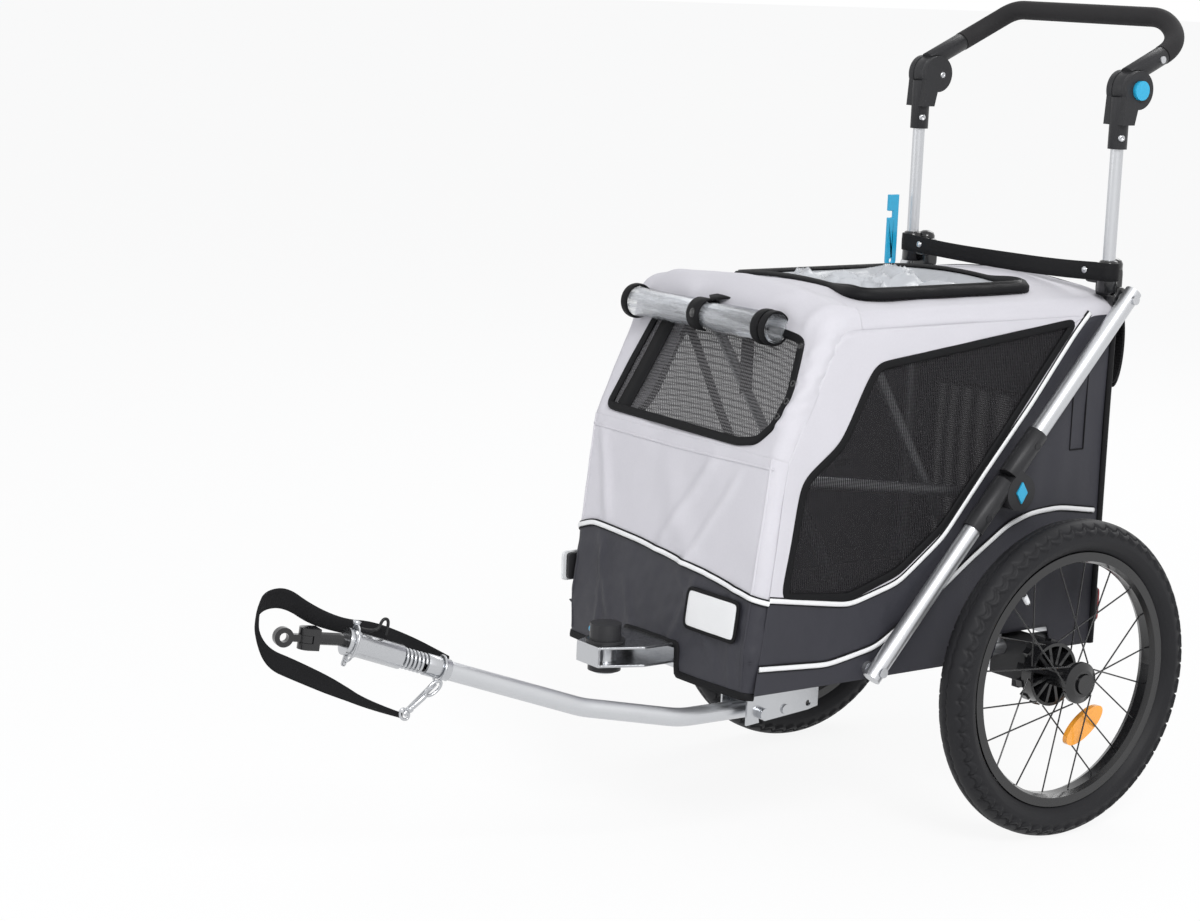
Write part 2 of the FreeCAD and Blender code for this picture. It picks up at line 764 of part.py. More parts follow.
def make_floor():
    """Welded floor frame and the board that lies on it."""
    rail_end_y = rear_y - ear_half_width
    tubes = []
    for side in (1, -1):
        tubes.append(rod(vec(side * rail_x, front_tube_y, rail_z), vec(side * rail_x, rear_y, rail_z), rail_radius))
        tubes.append(Part.makeSphere(rail_radius, vec(side * rail_x, front_tube_y, rail_z)))
        tubes.append(Part.makeSphere(rail_radius, vec(side * rail_x, rear_y, rail_z)))
    for y in (front_tube_y, middle_tube_y, rear_y):
        tubes.append(cross_rod(-rail_x, rail_x, y, rail_z, rail_radius))
    frame = joined(*tubes)

    extras = []
    ear_inner = leg_radius + ear_gap
    for side in (1, -1):
        for face in (1, -1):
            near = side * (leg_x + face * ear_inner)
            far = side * (leg_x + face * (ear_inner + ear_plate))
            ear = box(min(near, far), max(near, far), rear_y - ear_half_width, rear_y + ear_half_width,
                      rail_z, fold_pivot_z)
            tip = cross_rod(min(near, far), max(near, far), rear_y, fold_pivot_z, ear_half_width)
            extras += [ear, tip]
        outside = leg_x + ear_inner + ear_plate
        inside = leg_x - ear_inner - ear_plate
        ends = (side * inside, side * outside)
        extras.append(cross_rod(min(ends), max(ends), rear_y, fold_pivot_z, fold_pin_radius))
        outrigger_end = strut_x - strut_radius - seam_gap
        ends = (side * rail_x, side * outrigger_end)
        extras.append(cross_rod(min(ends), max(ends), lower_pivot_y, lower_pivot_z, rail_radius - fabric))
        ends = (side * rail_x, side * (strut_x + strut_radius + seam_gap))
        extras.append(cross_rod(min(ends), max(ends), lower_pivot_y, lower_pivot_z, strut_pin_radius))
        ends = (side * (strut_x + strut_radius + seam_gap), side * (strut_x + strut_radius + rivet_head_height))
        extras.append(cross_rod(min(ends), max(ends), lower_pivot_y, lower_pivot_z, rivet_head_radius))
        hoop_ear = hoop_radius + ear_gap
        inner = front_hoop_x - hoop_ear
        ends = (side * inner, side * rail_x)
        extras.append(cross_rod(min(ends), max(ends), front_hoop_foot_y, front_hoop_foot_z, hoop_pin_radius))
        post = rod(vec(side * rail_x, front_hoop_foot_y, rail_z),
                   vec(side * rail_x, front_hoop_foot_y, front_hoop_foot_z + hoop_radius), hoop_radius)
        extras.append(post)
    frame = joined(frame, *extras)
    bearer_z = bracket_top_z + fit_gap + bracket_bearer_radius
    bearer = rod(vec(bracket_x, front_tube_y, bearer_z), vec(bracket_x, middle_tube_y, bearer_z),
                 bracket_bearer_radius)
    save("floor_frame", joined(frame, bearer))

    board_half = front_hoop_x - hoop_radius - hoop_gap
    board = box(-board_half, board_half, front_tube_y - rail_radius + fabric, rear_y - rail_radius,
                rail_z + rail_radius + floor_board_gap, rail_z + rail_radius + floor_board_gap + floor_board)
    save("floor_panel", board)


def make_rear_frame():
    """Folding rear hoop, corner brackets, cross band, posts and handle sockets."""
    corners = [
        vec(-leg_x, rear_y, fold_pivot_z - ear_half_width),
        vec(-leg_x, rear_y, leg_top_z),
        vec(leg_x, rear_y, leg_top_z),
        vec(leg_x, rear_y, fold_pivot_z - ear_half_width),
    ]
    hoop = bent_bar(corners, leg_radius, leg_bend)
    hollow = bent_bar(corners, leg_radius - tube_wall, leg_bend)
    keep = box(-leg_x - leg_radius, leg_x + leg_radius, 0, 2 * rear_y, fold_pivot_z + 2 * leg_radius, crown_z)
    hoop = hoop.cut(hollow.common(keep))
    bore = fold_pin_radius + stub_fit
    hoop = hoop.cut(cross_rod(-body_half_width, body_half_width, rear_y, fold_pivot_z, bore))
    save("rear_hoop", hoop)

    block = box(corner_inner_x, corner_outer_x, corner_front_y, corner_back_y, corner_bottom_z, corner_top_z)
    edges = [e for e in block.Edges if abs(e.BoundBox.ZLength - (corner_top_z - corner_bottom_z)) < fit_gap]
    block = block.makeFillet(fabric * 2, edges)
    cap = rod(vec(post_x - fabric, post_y, corner_top_z - overrun), vec(post_x - fabric, post_y, corner_cap_top_z),
              corner_cap_radius - fabric)
    ear = box(leg_x, corner_outer_x - hook_plate - hook_fork_gap - hook_fork_plate,
              hook_pivot_y - hook_width / 2, corner_front_y + overrun,
              hook_pivot_z - hook_width / 2, hook_pivot_z + hook_width / 2)
    leg_cut = bent_bar(corners, leg_radius + fit_gap, leg_bend)
    post_cut = rod(vec(post_x, post_y, post_foot_z), vec(post_x, post_y, post_top_z), post_radius + fit_gap)
    plain = holed(joined(block, cap), leg_cut, post_cut)
    hook_ear_outer = corner_outer_x - hook_plate - hook_fork_gap - hook_fork_plate
    right = joined(mirrored(block), mirrored(cap), mirrored(ear))
    pin = cross_rod(-hook_ear_outer - hook_fork_gap - hook_plate - hook_fork_gap, -leg_x, hook_pivot_y,
                    hook_pivot_z, hook_pin_radius)
    head = cross_rod(-hook_ear_outer - 2 * hook_fork_gap - hook_plate - rivet_head_height,
                     -hook_ear_outer - 2 * hook_fork_gap - hook_plate, hook_pivot_y, hook_pivot_z,
                     rivet_head_radius)
    right = joined(right, pin, head)
    right = holed(right, leg_cut, mirrored(post_cut))
    save("corner_brackets", plain, right)
    make_hook(hook_ear_outer)

    sag_points = []
    inner = corner_inner_x - seam_gap
    for i in range(band_steps + 1):
        x = -inner + 2 * inner * i / band_steps
        sag_points.append(vec(x, post_y, band_top_z - band_sag * (1 - (x / inner) ** 2)))
    lower = [p - vec(0, 0, band_height) for p in reversed(sag_points)]
    band = outline_face(sag_points + lower).extrude(vec(0, band_thickness, 0))
    save("cross_band", band)

    post = rod(vec(post_x, post_y, post_foot_z), vec(post_x, post_y, post_top_z), post_radius)
    post = post.cut(rod(vec(post_x, post_y, post_foot_z - overrun), vec(post_x, post_y, post_top_z + overrun),
                        post_radius - tube_wall))
    save("handle_posts", *pair(post))
    make_sockets()


def make_hook(ear_outer):
    """Blue latch hook that stands in front of the right post."""
    x0 = -ear_outer - hook_fork_gap - hook_plate
    x1 = -ear_outer - hook_fork_gap
    y0 = hook_pivot_y - hook_width / 2
    y1 = hook_pivot_y + hook_width / 2
    hook = box(x0, x1, y0, y1, hook_pivot_z, hook_top_z)
    hook = joined(hook, cross_rod(x0, x1, hook_pivot_y, hook_pivot_z, hook_width / 2))
    hook = holed(
        hook,
        cross_rod(x0 - overrun, x1 + overrun, hook_pivot_y, hook_pivot_z, hook_pin_radius + stub_fit),
        box(x0 - overrun, x1 + overrun, y0 - overrun, y0 + hook_notch, hook_notch_z - hook_notch, hook_notch_z))
    save("fold_hook", hook)


def make_sockets():
    """Black sockets on the posts, each with two round cheeks at the handle's hinge."""
    inner_x = handle_x - handle_hub_half_width
    outer_x = handle_x + handle_hub_half_width
    sleeve = rod(vec(post_x, post_y, handle_socket_bottom_z), vec(post_x, post_y, handle_hub_z - handle_cheek),
                 handle_socket_radius)
    neck = box(handle_x - handle_socket_radius, handle_x + handle_socket_radius, post_y - handle_socket_radius + fabric,
               post_y + handle_socket_radius, post_top_z + fabric, handle_hub_z)
    cheeks = [
        cross_rod(inner_x, inner_x + handle_cheek, handle_hub_y, handle_hub_z, handle_hub_radius),
        cross_rod(outer_x - handle_cheek, outer_x, handle_hub_y, handle_hub_z, handle_hub_radius),
    ]
    web = side_plate([
        (post_y - handle_socket_radius + fabric, post_top_z),
        (post_y + handle_socket_radius - fabric, post_top_z),
        (handle_hub_y, handle_hub_z - handle_hub_radius + fabric),
        (handle_hub_y - handle_hub_radius / 2, handle_hub_z),
        (handle_hub_y - handle_hub_radius + fabric, handle_hub_z),
    ], inner_x, outer_x)
    socket = joined(sleeve, web, *cheeks)
    gap_radius = handle_hub_radius + handle_hub_gap
    middle = cross_rod(inner_x + handle_cheek - handle_hub_gap, outer_x - handle_cheek + handle_hub_gap,
                       handle_hub_y, handle_hub_z, gap_radius)
    pin = cross_rod(inner_x + handle_cheek / 2, outer_x - handle_cheek / 2, handle_hub_y, handle_hub_z,
                    handle_pin_radius)
    post_hole = rod(vec(post_x, post_y, handle_socket_bottom_z - overrun), vec(post_x, post_y, post_top_z + fit_gap),
                    post_radius + fit_gap)
    recess = cross_rod(outer_x - push_button_depth, outer_x + overrun, handle_hub_y, handle_hub_z,
                       push_button_radius + push_button_fit)
    socket = joined(holed(socket, middle, post_hole, recess), pin)
    save("handle_sockets", *pair(socket))

    button_x = outer_x - push_button_depth + push_button_travel + fit_gap
    button = cross_rod(button_x, outer_x + push_button_proud, handle_hub_y, handle_hub_z, push_button_radius)
    save("handle_button_left", button)
    save("handle_button_right", mirrored(button))


def handle_point(x, reach):
    """A place on the line of a handle arm, which passes above the hinge's centre."""
    angle = math.radians(handle_arm_deg)
    y = handle_hub_y + reach * math.cos(angle) - handle_arm_offset * math.sin(angle)
    z = handle_hub_z + reach * math.sin(angle) + handle_arm_offset * math.cos(angle)
    return vec(x, y, z)


def handle_corners(reach):
    """Corners of the handle tube, from a reach along the right arm to the same reach along the left."""
    half = [
        handle_point(handle_x, reach),
        handle_point(handle_x, handle_bend_reach),
        handle_point(handle_x - handle_top_inset, handle_bend_reach) + vec(0, handle_top_back, handle_top_rise),
    ]
    return [vec(-p.x, p.y, p.z) for p in half] + list(reversed(half))


def make_handle():
    """Tilting handle: hinge discs with arm sockets, bar and foam grip."""
    inner_x = handle_x - handle_hub_half_width + handle_cheek
    outer_x = handle_x + handle_hub_half_width - handle_cheek
    disc = cross_rod(inner_x, outer_x, handle_hub_y, handle_hub_z, handle_hub_radius - handle_hub_gap)
    arm = rod(handle_point(handle_x, handle_arm_start), handle_point(handle_x, handle_arm_end), handle_arm_radius)
    side_discs = [
        cross_rod(inner_x - handle_hub_half_width, inner_x, handle_hub_y, handle_hub_z,
                  handle_hub_radius + 2 * handle_hub_gap),
        cross_rod(outer_x, outer_x + handle_hub_half_width, handle_hub_y, handle_hub_z,
                  handle_hub_radius + 2 * handle_hub_gap),
    ]
    bar_start = handle_hub_radius + 2 * handle_hub_gap
    corners = handle_corners(bar_start)
    bar_hole = bent_bar(corners, handle_bar_radius + fit_gap, handle_bar_bend)
    pin_hole = cross_rod(inner_x - overrun, outer_x + overrun, handle_hub_y, handle_hub_z,
                         handle_pin_radius + stub_fit)
    arm = holed(joined(disc, arm), *side_discs, bar_hole, pin_hole)
    save("handle_arms", *pair(arm))

    bar = bent_bar(corners, handle_bar_radius, handle_bar_bend)
    bar = bar.cut(bent_bar(corners, handle_bar_radius - tube_wall, handle_bar_bend))
    at = handle_point(handle_x + handle_arm_radius, handle_arm_screw)
    screw = cross_rod(at.x + fit_gap, at.x + screw_head_height, at.y, at.z, screw_head_radius)
    save("handle_bar", bar, *pair(screw))

    grip = bent_bar(handle_corners(handle_arm_end + 2 * seam_gap), grip_radius, handle_bar_bend)
    save("handle_grip", grip.cut(bar_hole))


def make_struts():
    """Two-part diagonal struts with offset hinged knuckles and diamond buttons."""
    lower = strut_bar(-strut_end_overhang, knuckle_along - sleeve_tube_end, strut_radius)
    lower_hole = cross_rod(strut_x - wheel_x, wheel_x, lower_pivot_y, lower_pivot_z, strut_pin_radius + strut_pin_fit)
    inner = strut_bar(-strut_end_overhang - overrun, knuckle_along, strut_radius - tube_wall)
    solid_foot = strut_bar(-strut_end_overhang - overrun, strut_end_overhang, strut_radius)
    lower = lower.cut(inner.cut(solid_foot)).cut(lower_hole)
    save("lower_struts", *pair(lower))

    upper = strut_bar(knuckle_along + sleeve_tube_end, strut_length + strut_end_overhang, strut_radius)
    solid_head = strut_bar(strut_length - strut_end_overhang, strut_length + 2 * strut_end_overhang, strut_radius)
    core = strut_bar(knuckle_along, strut_length + 2 * strut_end_overhang, strut_radius - tube_wall)
    upper = upper.cut(core.cut(solid_head))
    washer = cross_rod(corner_outer_x + knuckle_split_gap, strut_x - strut_radius + fabric, upper_pivot_y, upper_pivot_z,
                       rivet_head_radius)
    head = cross_rod(strut_x + strut_radius - overrun, strut_x + strut_radius + rivet_head_height, upper_pivot_y,
                     upper_pivot_z, rivet_head_radius)
    upper = joined(upper, washer, head)
    save("upper_struts", *pair(upper))

    inner_x = strut_x - knuckle_half_width
    outer_x = strut_x + knuckle_half_width
    split = knuckle_split_gap / 2
    y, z = knuckle_y, knuckle_z

    def wedge_face(start, end):
        """Flat web from a sleeve to its disc, across the strut line."""
        return [line_point(start, 0), line_point(end, 0), line_point(end, -knuckle_offset),
                line_point(start, -knuckle_offset)]

    sleeve = strut_bar(knuckle_along - lower_sleeve_start, knuckle_along - lower_sleeve_end, knuckle_half_width)
    disc = cross_rod(inner_x, strut_x - split, y, z, knuckle_radius)
    web = side_plate(wedge_face(knuckle_along - knuckle_radius * web_share, knuckle_along - lower_sleeve_end),
                     inner_x, strut_x - split)
    sweep = cross_rod(strut_x - split, outer_x + overrun, y, z, knuckle_radius + knuckle_clear)
    tube_hole = strut_bar(0, knuckle_along - sleeve_tube_end + fit_gap, strut_radius + fit_gap)
    pin = cross_rod(strut_x - split - overrun, strut_x + knuckle_pin_reach, y, z, strut_pin_radius)
    lower_knuckle = joined(holed(joined(sleeve, disc, web), sweep, tube_hole), pin)
    screw_y, screw_z = line_point(knuckle_along - lower_screw_along)
    screw = cross_rod(outer_x - overrun, outer_x + screw_head_height / 2, screw_y, screw_z, screw_head_radius)
    save("lower_knuckles", *pair(joined(lower_knuckle, screw)))

    sleeve = strut_bar(knuckle_along + upper_sleeve_start, knuckle_along + upper_sleeve_end, knuckle_half_width)
    disc = cross_rod(strut_x + split, outer_x, y, z, knuckle_radius)
    web = side_plate(wedge_face(knuckle_along + upper_sleeve_start, knuckle_along + knuckle_radius * web_share),
                     strut_x + split, outer_x)
    sweep = cross_rod(inner_x - overrun, strut_x + split, y, z, knuckle_radius + knuckle_clear)
    tube_hole = strut_bar(knuckle_along + sleeve_tube_end - fit_gap, strut_length, strut_radius + fit_gap)
    pin_hole = cross_rod(strut_x, strut_x + knuckle_pin_reach + fit_gap, y, z, strut_pin_radius + strut_pin_fit)
    recess = diamond(outer_x - diamond_depth + diamond_depth / 2, outer_x + overrun, diamond_fit)
    upper_knuckle = holed(joined(sleeve, disc, web), sweep, tube_hole, pin_hole, recess)
    screw_y, screw_z = line_point(knuckle_along + upper_screw_along)
    screw = cross_rod(outer_x - overrun, outer_x + screw_head_height / 2, screw_y, screw_z, screw_head_radius)
    save("upper_knuckles", *pair(joined(upper_knuckle, screw)))

    button = diamond(outer_x - diamond_depth / 2 + diamond_travel + fit_gap, outer_x + diamond_proud, 0)
    save("strut_button_left", button)
    save("strut_button_right", mirrored(button))


def diamond(x0, x1, grow):
    """A lozenge along x at the knuckle, taller than it is wide."""
    tall = diamond_half_length + grow
    wide = diamond_half_width + grow
    points = [(knuckle_y, knuckle_z + tall), (knuckle_y + wide, knuckle_z), (knuckle_y, knuckle_z - tall),
              (knuckle_y - wide, knuckle_z)]
    return side_plate(points, x0, x1)


def make_hoops():
    """Front hoop that holds up the roof's front edge, and the ledge hoop riveted across it."""
    def leg(x):
        return [vec(x, front_hoop_foot_y, front_hoop_foot_z), vec(x, front_hoop_bend_y, front_hoop_bend_z),
                vec(x, front_hoop_top_y, front_hoop_top_z)]
    hoop = bent_bar(leg(-front_hoop_x) + list(reversed(leg(front_hoop_x))), hoop_radius, hoop_bend)
    feet = [cross_rod(side * front_hoop_x - hoop_radius, side * front_hoop_x + hoop_radius, front_hoop_foot_y,
                      front_hoop_foot_z, hoop_radius) for side in (1, -1)]
    holes = [cross_rod(side * front_hoop_x - 2 * hoop_radius, side * front_hoop_x + 2 * hoop_radius,
                       front_hoop_foot_y, front_hoop_foot_z, hoop_pin_radius + stub_fit) for side in (1, -1)]
    cross_y, cross_z = ledge_cross()
    rivets = []
    for side in (1, -1):
        ends = (side * (front_hoop_x + hoop_radius / 2), side * (ledge_hoop_x + hoop_radius))
        rivets.append(cross_rod(min(ends), max(ends), cross_y, cross_z, hoop_rivet_radius))
    save("front_hoop", holed(hoop.fuse(feet + rivets), *holes))

    corners = [
        vec(-ledge_hoop_x, ledge_hoop_rear_y, ledge_hoop_rear_z),
        vec(-ledge_hoop_x, ledge_hoop_front_y, ledge_hoop_front_z),
        vec(ledge_hoop_x, ledge_hoop_front_y, ledge_hoop_front_z),
        vec(ledge_hoop_x, ledge_hoop_rear_y, ledge_hoop_rear_z),
    ]
    ledge = bent_bar(corners, hoop_radius, hoop_bend)
    hole = cross_rod(-body_half_width, body_half_width, cross_y, cross_z, hoop_rivet_radius + stub_fit)
    save("ledge_hoop", ledge.cut(hole))


def ledge_cross():
    """Where the ledge hoop's leg crosses the front hoop's leg, as (y, z)."""
    leg_slope = (front_hoop_bend_z - front_hoop_foot_z) / (front_hoop_bend_y - front_hoop_foot_y)
    ledge_slope = (ledge_hoop_front_z - ledge_hoop_rear_z) / (ledge_hoop_front_y - ledge_hoop_rear_y)
    rise = ledge_hoop_rear_z - front_hoop_foot_z + leg_slope * front_hoop_foot_y - ledge_slope * ledge_hoop_rear_y
    y = rise / (leg_slope - ledge_slope)
    return y, front_hoop_foot_z + leg_slope * (y - front_hoop_foot_y)


def wall_outline():
    """The side wall's outline in (y, z)."""
    return [
        (front_bottom_y, hem_z), (-arch_half_width, hem_z), (-arch_half_width * arch_top_share, arch_z),
        (arch_half_width * arch_top_share, arch_z), (arch_half_width, hem_z), (rear_wall_y, hem_z),
        (rear_wall_y, eave_z), (top_front_y, eave_z), (ledge_y, ledge_z),
    ]


def on_wall(shares):
    """Corners on the side wall as (y, z), from shares of its length and height."""
    long = rear_wall_y - front_bottom_y
    tall = eave_z - hem_z
    return [(front_bottom_y + a * long, hem_z + b * tall) for a, b in shares]


def front_y(z):
    """The outer face of the front panels at a height."""
    share = (z - hem_z) / (ledge_z - hem_z)
    return front_bottom_y + (ledge_y - front_bottom_y) * share


def make_fabric():
    """Walls, roof and hood of the cabin, each panel a thin closed solid."""
    notch = box(corner_inner_x - corner_notch_gap, body_half_width + overrun, corner_front_y - 2 * corner_notch_gap,
                rear_wall_y + overrun, corner_bottom_z - corner_notch_gap, crown_z + fabric)
    wall = side_plate(wall_outline(), wall_x, body_half_width)
    window = side_plate(on_wall(window_shares), wall_x - overrun, body_half_width + overrun)
    pivot = cross_rod(wall_x - overrun, body_half_width + overrun, lower_pivot_y, lower_pivot_z, pivot_hole_radius)
    wall = holed(wall, window, pivot, notch)
    save("side_wall_left", wall)
    save("side_wall_right", mirrored(wall))

    mesh = side_plate(on_wall(window_shares), wall_x, body_half_width - fabric / 2)
    hood_mesh = hood_sheet(hood_window_shares, fabric / 2)
    save("window_meshes", hood_mesh, *pair(mesh))

    half = wall_x
    sheet = side_plate([
        (front_y(hem_z), hem_z), (ledge_y, ledge_z), (top_front_y, eave_z),
        (top_front_y + fabric, eave_z), (ledge_y + fabric, ledge_z), (front_y(hem_z) + fabric, hem_z),
    ], -half, half)
    below = [(x, z) for x, z in split_line()] + [(half + overrun, hem_z - overrun), (-half - overrun, hem_z - overrun)]
    below = outline_face([vec(x, front_bottom_y - fabric, z) for x, z in below]).extrude(vec(0, body_half_width, 0))
    low = sheet.common(below)
    low = low.cut(box(-socket_notch_half_width, socket_notch_half_width, front_bottom_y - fabric,
                      front_bottom_y + wheel_radius, hem_z - overrun, socket_notch_z))
    save("front_panel", low)
    save("hood", holed(sheet, below, hood_sheet(hood_window_shares, 4 * fabric)))

    roof_arc = arched_plate(top_front_y, rear_wall_y)
    window = box(-roof_window_half_width, roof_window_half_width, roof_window_front_y, roof_window_rear_y, eave_z,
                 crown_z + fabric)
    left_notch = notch
    roof = holed(roof_arc, window, left_notch, mirrored(notch))
    save("roof_panel", roof)
    flap = arched_plate(roof_window_front_y + seam_gap, roof_window_rear_y - seam_gap)
    trim = roof_window_half_width - seam_gap
    flap = flap.common(box(-trim, trim, top_front_y, rear_wall_y, eave_z - overrun, crown_z + fabric))
    save("roof_flap", flap)

    rear = box(-half, half, rear_wall_y - fabric, rear_wall_y, hem_z, eave_z)
    door_hole = box(-door_half_width, door_half_width, rear_wall_y - 2 * fabric, rear_wall_y + fabric,
                    door_bottom_z, door_top_z)
    save("rear_panel", holed(rear, door_hole, notch, mirrored(notch)))
    door_half = door_half_width - seam_gap
    hem = cross_rod(-door_half, door_half, rear_wall_y - fabric / 2, door_hinge_z, fabric / 2)
    door = box(-door_half, door_half, rear_wall_y - fabric, rear_wall_y, door_hinge_z, door_top_z - seam_gap)
    save("rear_door", joined(door, hem))


def arched_plate(y0, y1):
    """A roof sheet that rises from both eaves to the crown."""
    def arc(drop, half):
        return Part.Arc(vec(-half, y0, eave_z), vec(0, y0, crown_z - drop), vec(half, y0, eave_z)).toShape()
    outer = arc(0, body_half_width)
    inner = arc(fabric, body_half_width - 2 * fabric)
    left = Part.LineSegment(vec(-body_half_width, y0, eave_z), vec(-body_half_width + 2 * fabric, y0, eave_z))
    right = Part.LineSegment(vec(body_half_width - 2 * fabric, y0, eave_z), vec(body_half_width, y0, eave_z))
    face = Part.Face(Part.Wire(Part.sortEdges([outer, inner, left.toShape(), right.toShape()])[0]))
    return face.extrude(vec(0, y1 - y0, 0))


def hood_point(share, out=0.0):
    """A (y, z) place up the hood's slope, and out from it."""
    dy = top_front_y - ledge_y
    dz = eave_z - ledge_z
    long = math.hypot(dy, dz)
    return ledge_y + dy * share - out * dz / long, ledge_z + dz * share + out * dy / long


def split_line():
    """The curved edge between the lower front panel and the hood, as (x, z)."""
    last = len(split_shares) - 1
    reach = [overrun if i in (0, last) else 0 for i in range(last + 1)]
    line = []
    for (a, b), extra in zip(split_shares, reach):
        line.append((a * (wall_x + extra), hem_z + b * (eave_z - hem_z)))
    return line


def hood_sheet(outline, thickness):
    """A sheet in the middle of the hood's slope, from (share of half width, share up the slope)."""
    low = vec(0, *hood_point(0, -fabric / 2 - thickness / 2))
    high = vec(0, *hood_point(0, -fabric / 2 + thickness / 2))
    face = outline_face([
        vec(a * wall_x, *hood_point(b, -fabric / 2 - thickness / 2)) for a, b in outline
    ])
    return face.extrude(high - low)


def make_trim():
    """Rolled covers, white piping, patch and reflectors."""
    y, z = hood_point(roll_height_share, roll_radius + band_thickness + fit_gap)
    front_roll = cross_rod(roll_right_x, roll_left_x, y, z, roll_radius)
    strap = cross_rod(roll_strap_x - band_height / 2, roll_strap_x + band_height / 2, y, z,
                      roll_radius + band_thickness)
    strap = strap.cut(front_roll)
    rear_roll = Part.makeCylinder(rear_roll_depth / 2, 2 * rear_roll_half_width, vec(0, 0, 0), AXIS_X)
    stretch = FreeCAD.Matrix()
    stretch.A33 = rear_roll_height / rear_roll_depth
    rear_roll = rear_roll.transformGeometry(stretch)
    rear_roll.translate(vec(-rear_roll_half_width, rear_wall_y + rear_roll_depth / 2 + fit_gap, rear_roll_z))
    save("rolled_covers", front_roll, strap, rear_roll)

    strips = []
    for shares in (piping_shares, low_piping_shares):
        strips += pair(piping(on_wall(shares)))
    line = split_line()
    face = [vec(x, 0, z) for x, z in line] + [vec(x, 0, z + piping_width) for x, z in reversed(line)]
    face = [vec(p.x, 0, p.z) for p in face]
    band = outline_face(face).extrude(vec(0, 2 * front_bottom_y, 0))
    skin = side_plate([
        (front_y(hem_z), hem_z), (ledge_y, ledge_z), (ledge_y - piping_depth, ledge_z),
        (front_y(hem_z) - piping_depth, hem_z),
    ], -wall_x, wall_x)
    front = skin.common(band)
    low = patch_z - patch_half_height
    high = patch_z + patch_half_height
    patch = side_plate([
        (front_y(low), low), (front_y(high), high), (front_y(high) - trim_depth, high),
        (front_y(low) - trim_depth, low),
    ], patch_x - patch_half_width, patch_x + patch_half_width)
    side_lens = box(-body_half_width - side_reflector_depth, -body_half_width,
                    side_reflector_y - side_reflector_half_length, side_reflector_y + side_reflector_half_length,
                    side_reflector_z - side_reflector_half_height, side_reflector_z + side_reflector_half_height)
    rear_lens = box(rear_reflector_x - rear_reflector_half_width, rear_reflector_x + rear_reflector_half_width,
                    rear_wall_y, rear_wall_y + rear_reflector_depth,
                    rear_reflector_z - rear_reflector_half_height, rear_reflector_z + rear_reflector_half_height)
    save("reflective_trim", front, patch, side_lens, *strips, *pair(rear_lens))


def piping(line):
    """A raised strip on the side wall along a line of (y, z) corners."""
    upper = [(y, z + piping_width) for y, z in line]
    return side_plate(line + list(reversed(upper)), body_half_width, body_half_width + piping_depth)


def make_socket():
    """Front wheel socket: folded plates round a steel bush, with a black cap, collar and blue button."""
    back_y = front_tube_y - rail_radius - floor_board_gap
    outline = [
        (-socket_front_half, socket_front_y), (socket_front_half, socket_front_y),
        (socket_rear_half, socket_shoulder_y), (socket_rear_half, back_y), (-socket_rear_half, back_y),
        (-socket_rear_half, socket_shoulder_y),
    ]
    top = flat_plate(outline, socket_top_z - socket_plate, socket_top_z)
    bottom = flat_plate(outline, socket_bottom_z, socket_bottom_z + socket_plate)
    front = box(-socket_front_half, socket_front_half, socket_front_y, socket_front_y + socket_plate,
                socket_bottom_z, socket_top_z)
    back = box(-socket_rear_half, socket_rear_half, back_y - socket_plate, back_y, socket_bottom_z, socket_top_z)
    centre = vec(0, socket_y, 0)
    bush_radius = socket_bore_radius + socket_bush_wall
    low = centre + vec(0, 0, socket_bush_bottom_z)
    high = centre + vec(0, 0, socket_bush_top_z)
    bush = rod(low, high, bush_radius)
    bore = rod(low - vec(0, 0, overrun), high + vec(0, 0, overrun), socket_bore_radius)
    button_hole = rod(vec(-socket_cap_flange, socket_y, socket_button_z), vec(0, socket_y, socket_button_z),
                      socket_button_radius + fit_gap)
    body = holed(joined(top, bottom, front, back, bush), bore, button_hole)
    save("wheel_socket", body)

    flange = rod(centre + vec(0, 0, socket_top_z + fit_gap),
                 centre + vec(0, 0, socket_top_z + socket_cap_flange_height), socket_cap_flange)
    dome = rod(centre + vec(0, 0, socket_top_z + fit_gap), high + vec(0, 0, socket_cap_wall + fit_gap),
               socket_cap_radius)
    inside = rod(low, high + vec(0, 0, fit_gap), bush_radius + fit_gap)
    cap = holed(joined(flange, dome), inside, button_hole)
    collar_top = socket_bottom_z - fit_gap
    collar = rod(centre + vec(0, 0, collar_top - socket_collar_height), centre + vec(0, 0, collar_top),
                 socket_collar_radius)
    save("socket_caps", cap, collar.cut(inside))

    tip = -socket_bore_radius - socket_button_travel - fit_gap
    button = rod(vec(tip, socket_y, socket_button_z), vec(tip - socket_button_length, socket_y, socket_button_z),
                 socket_button_radius)
    save("socket_button", button)


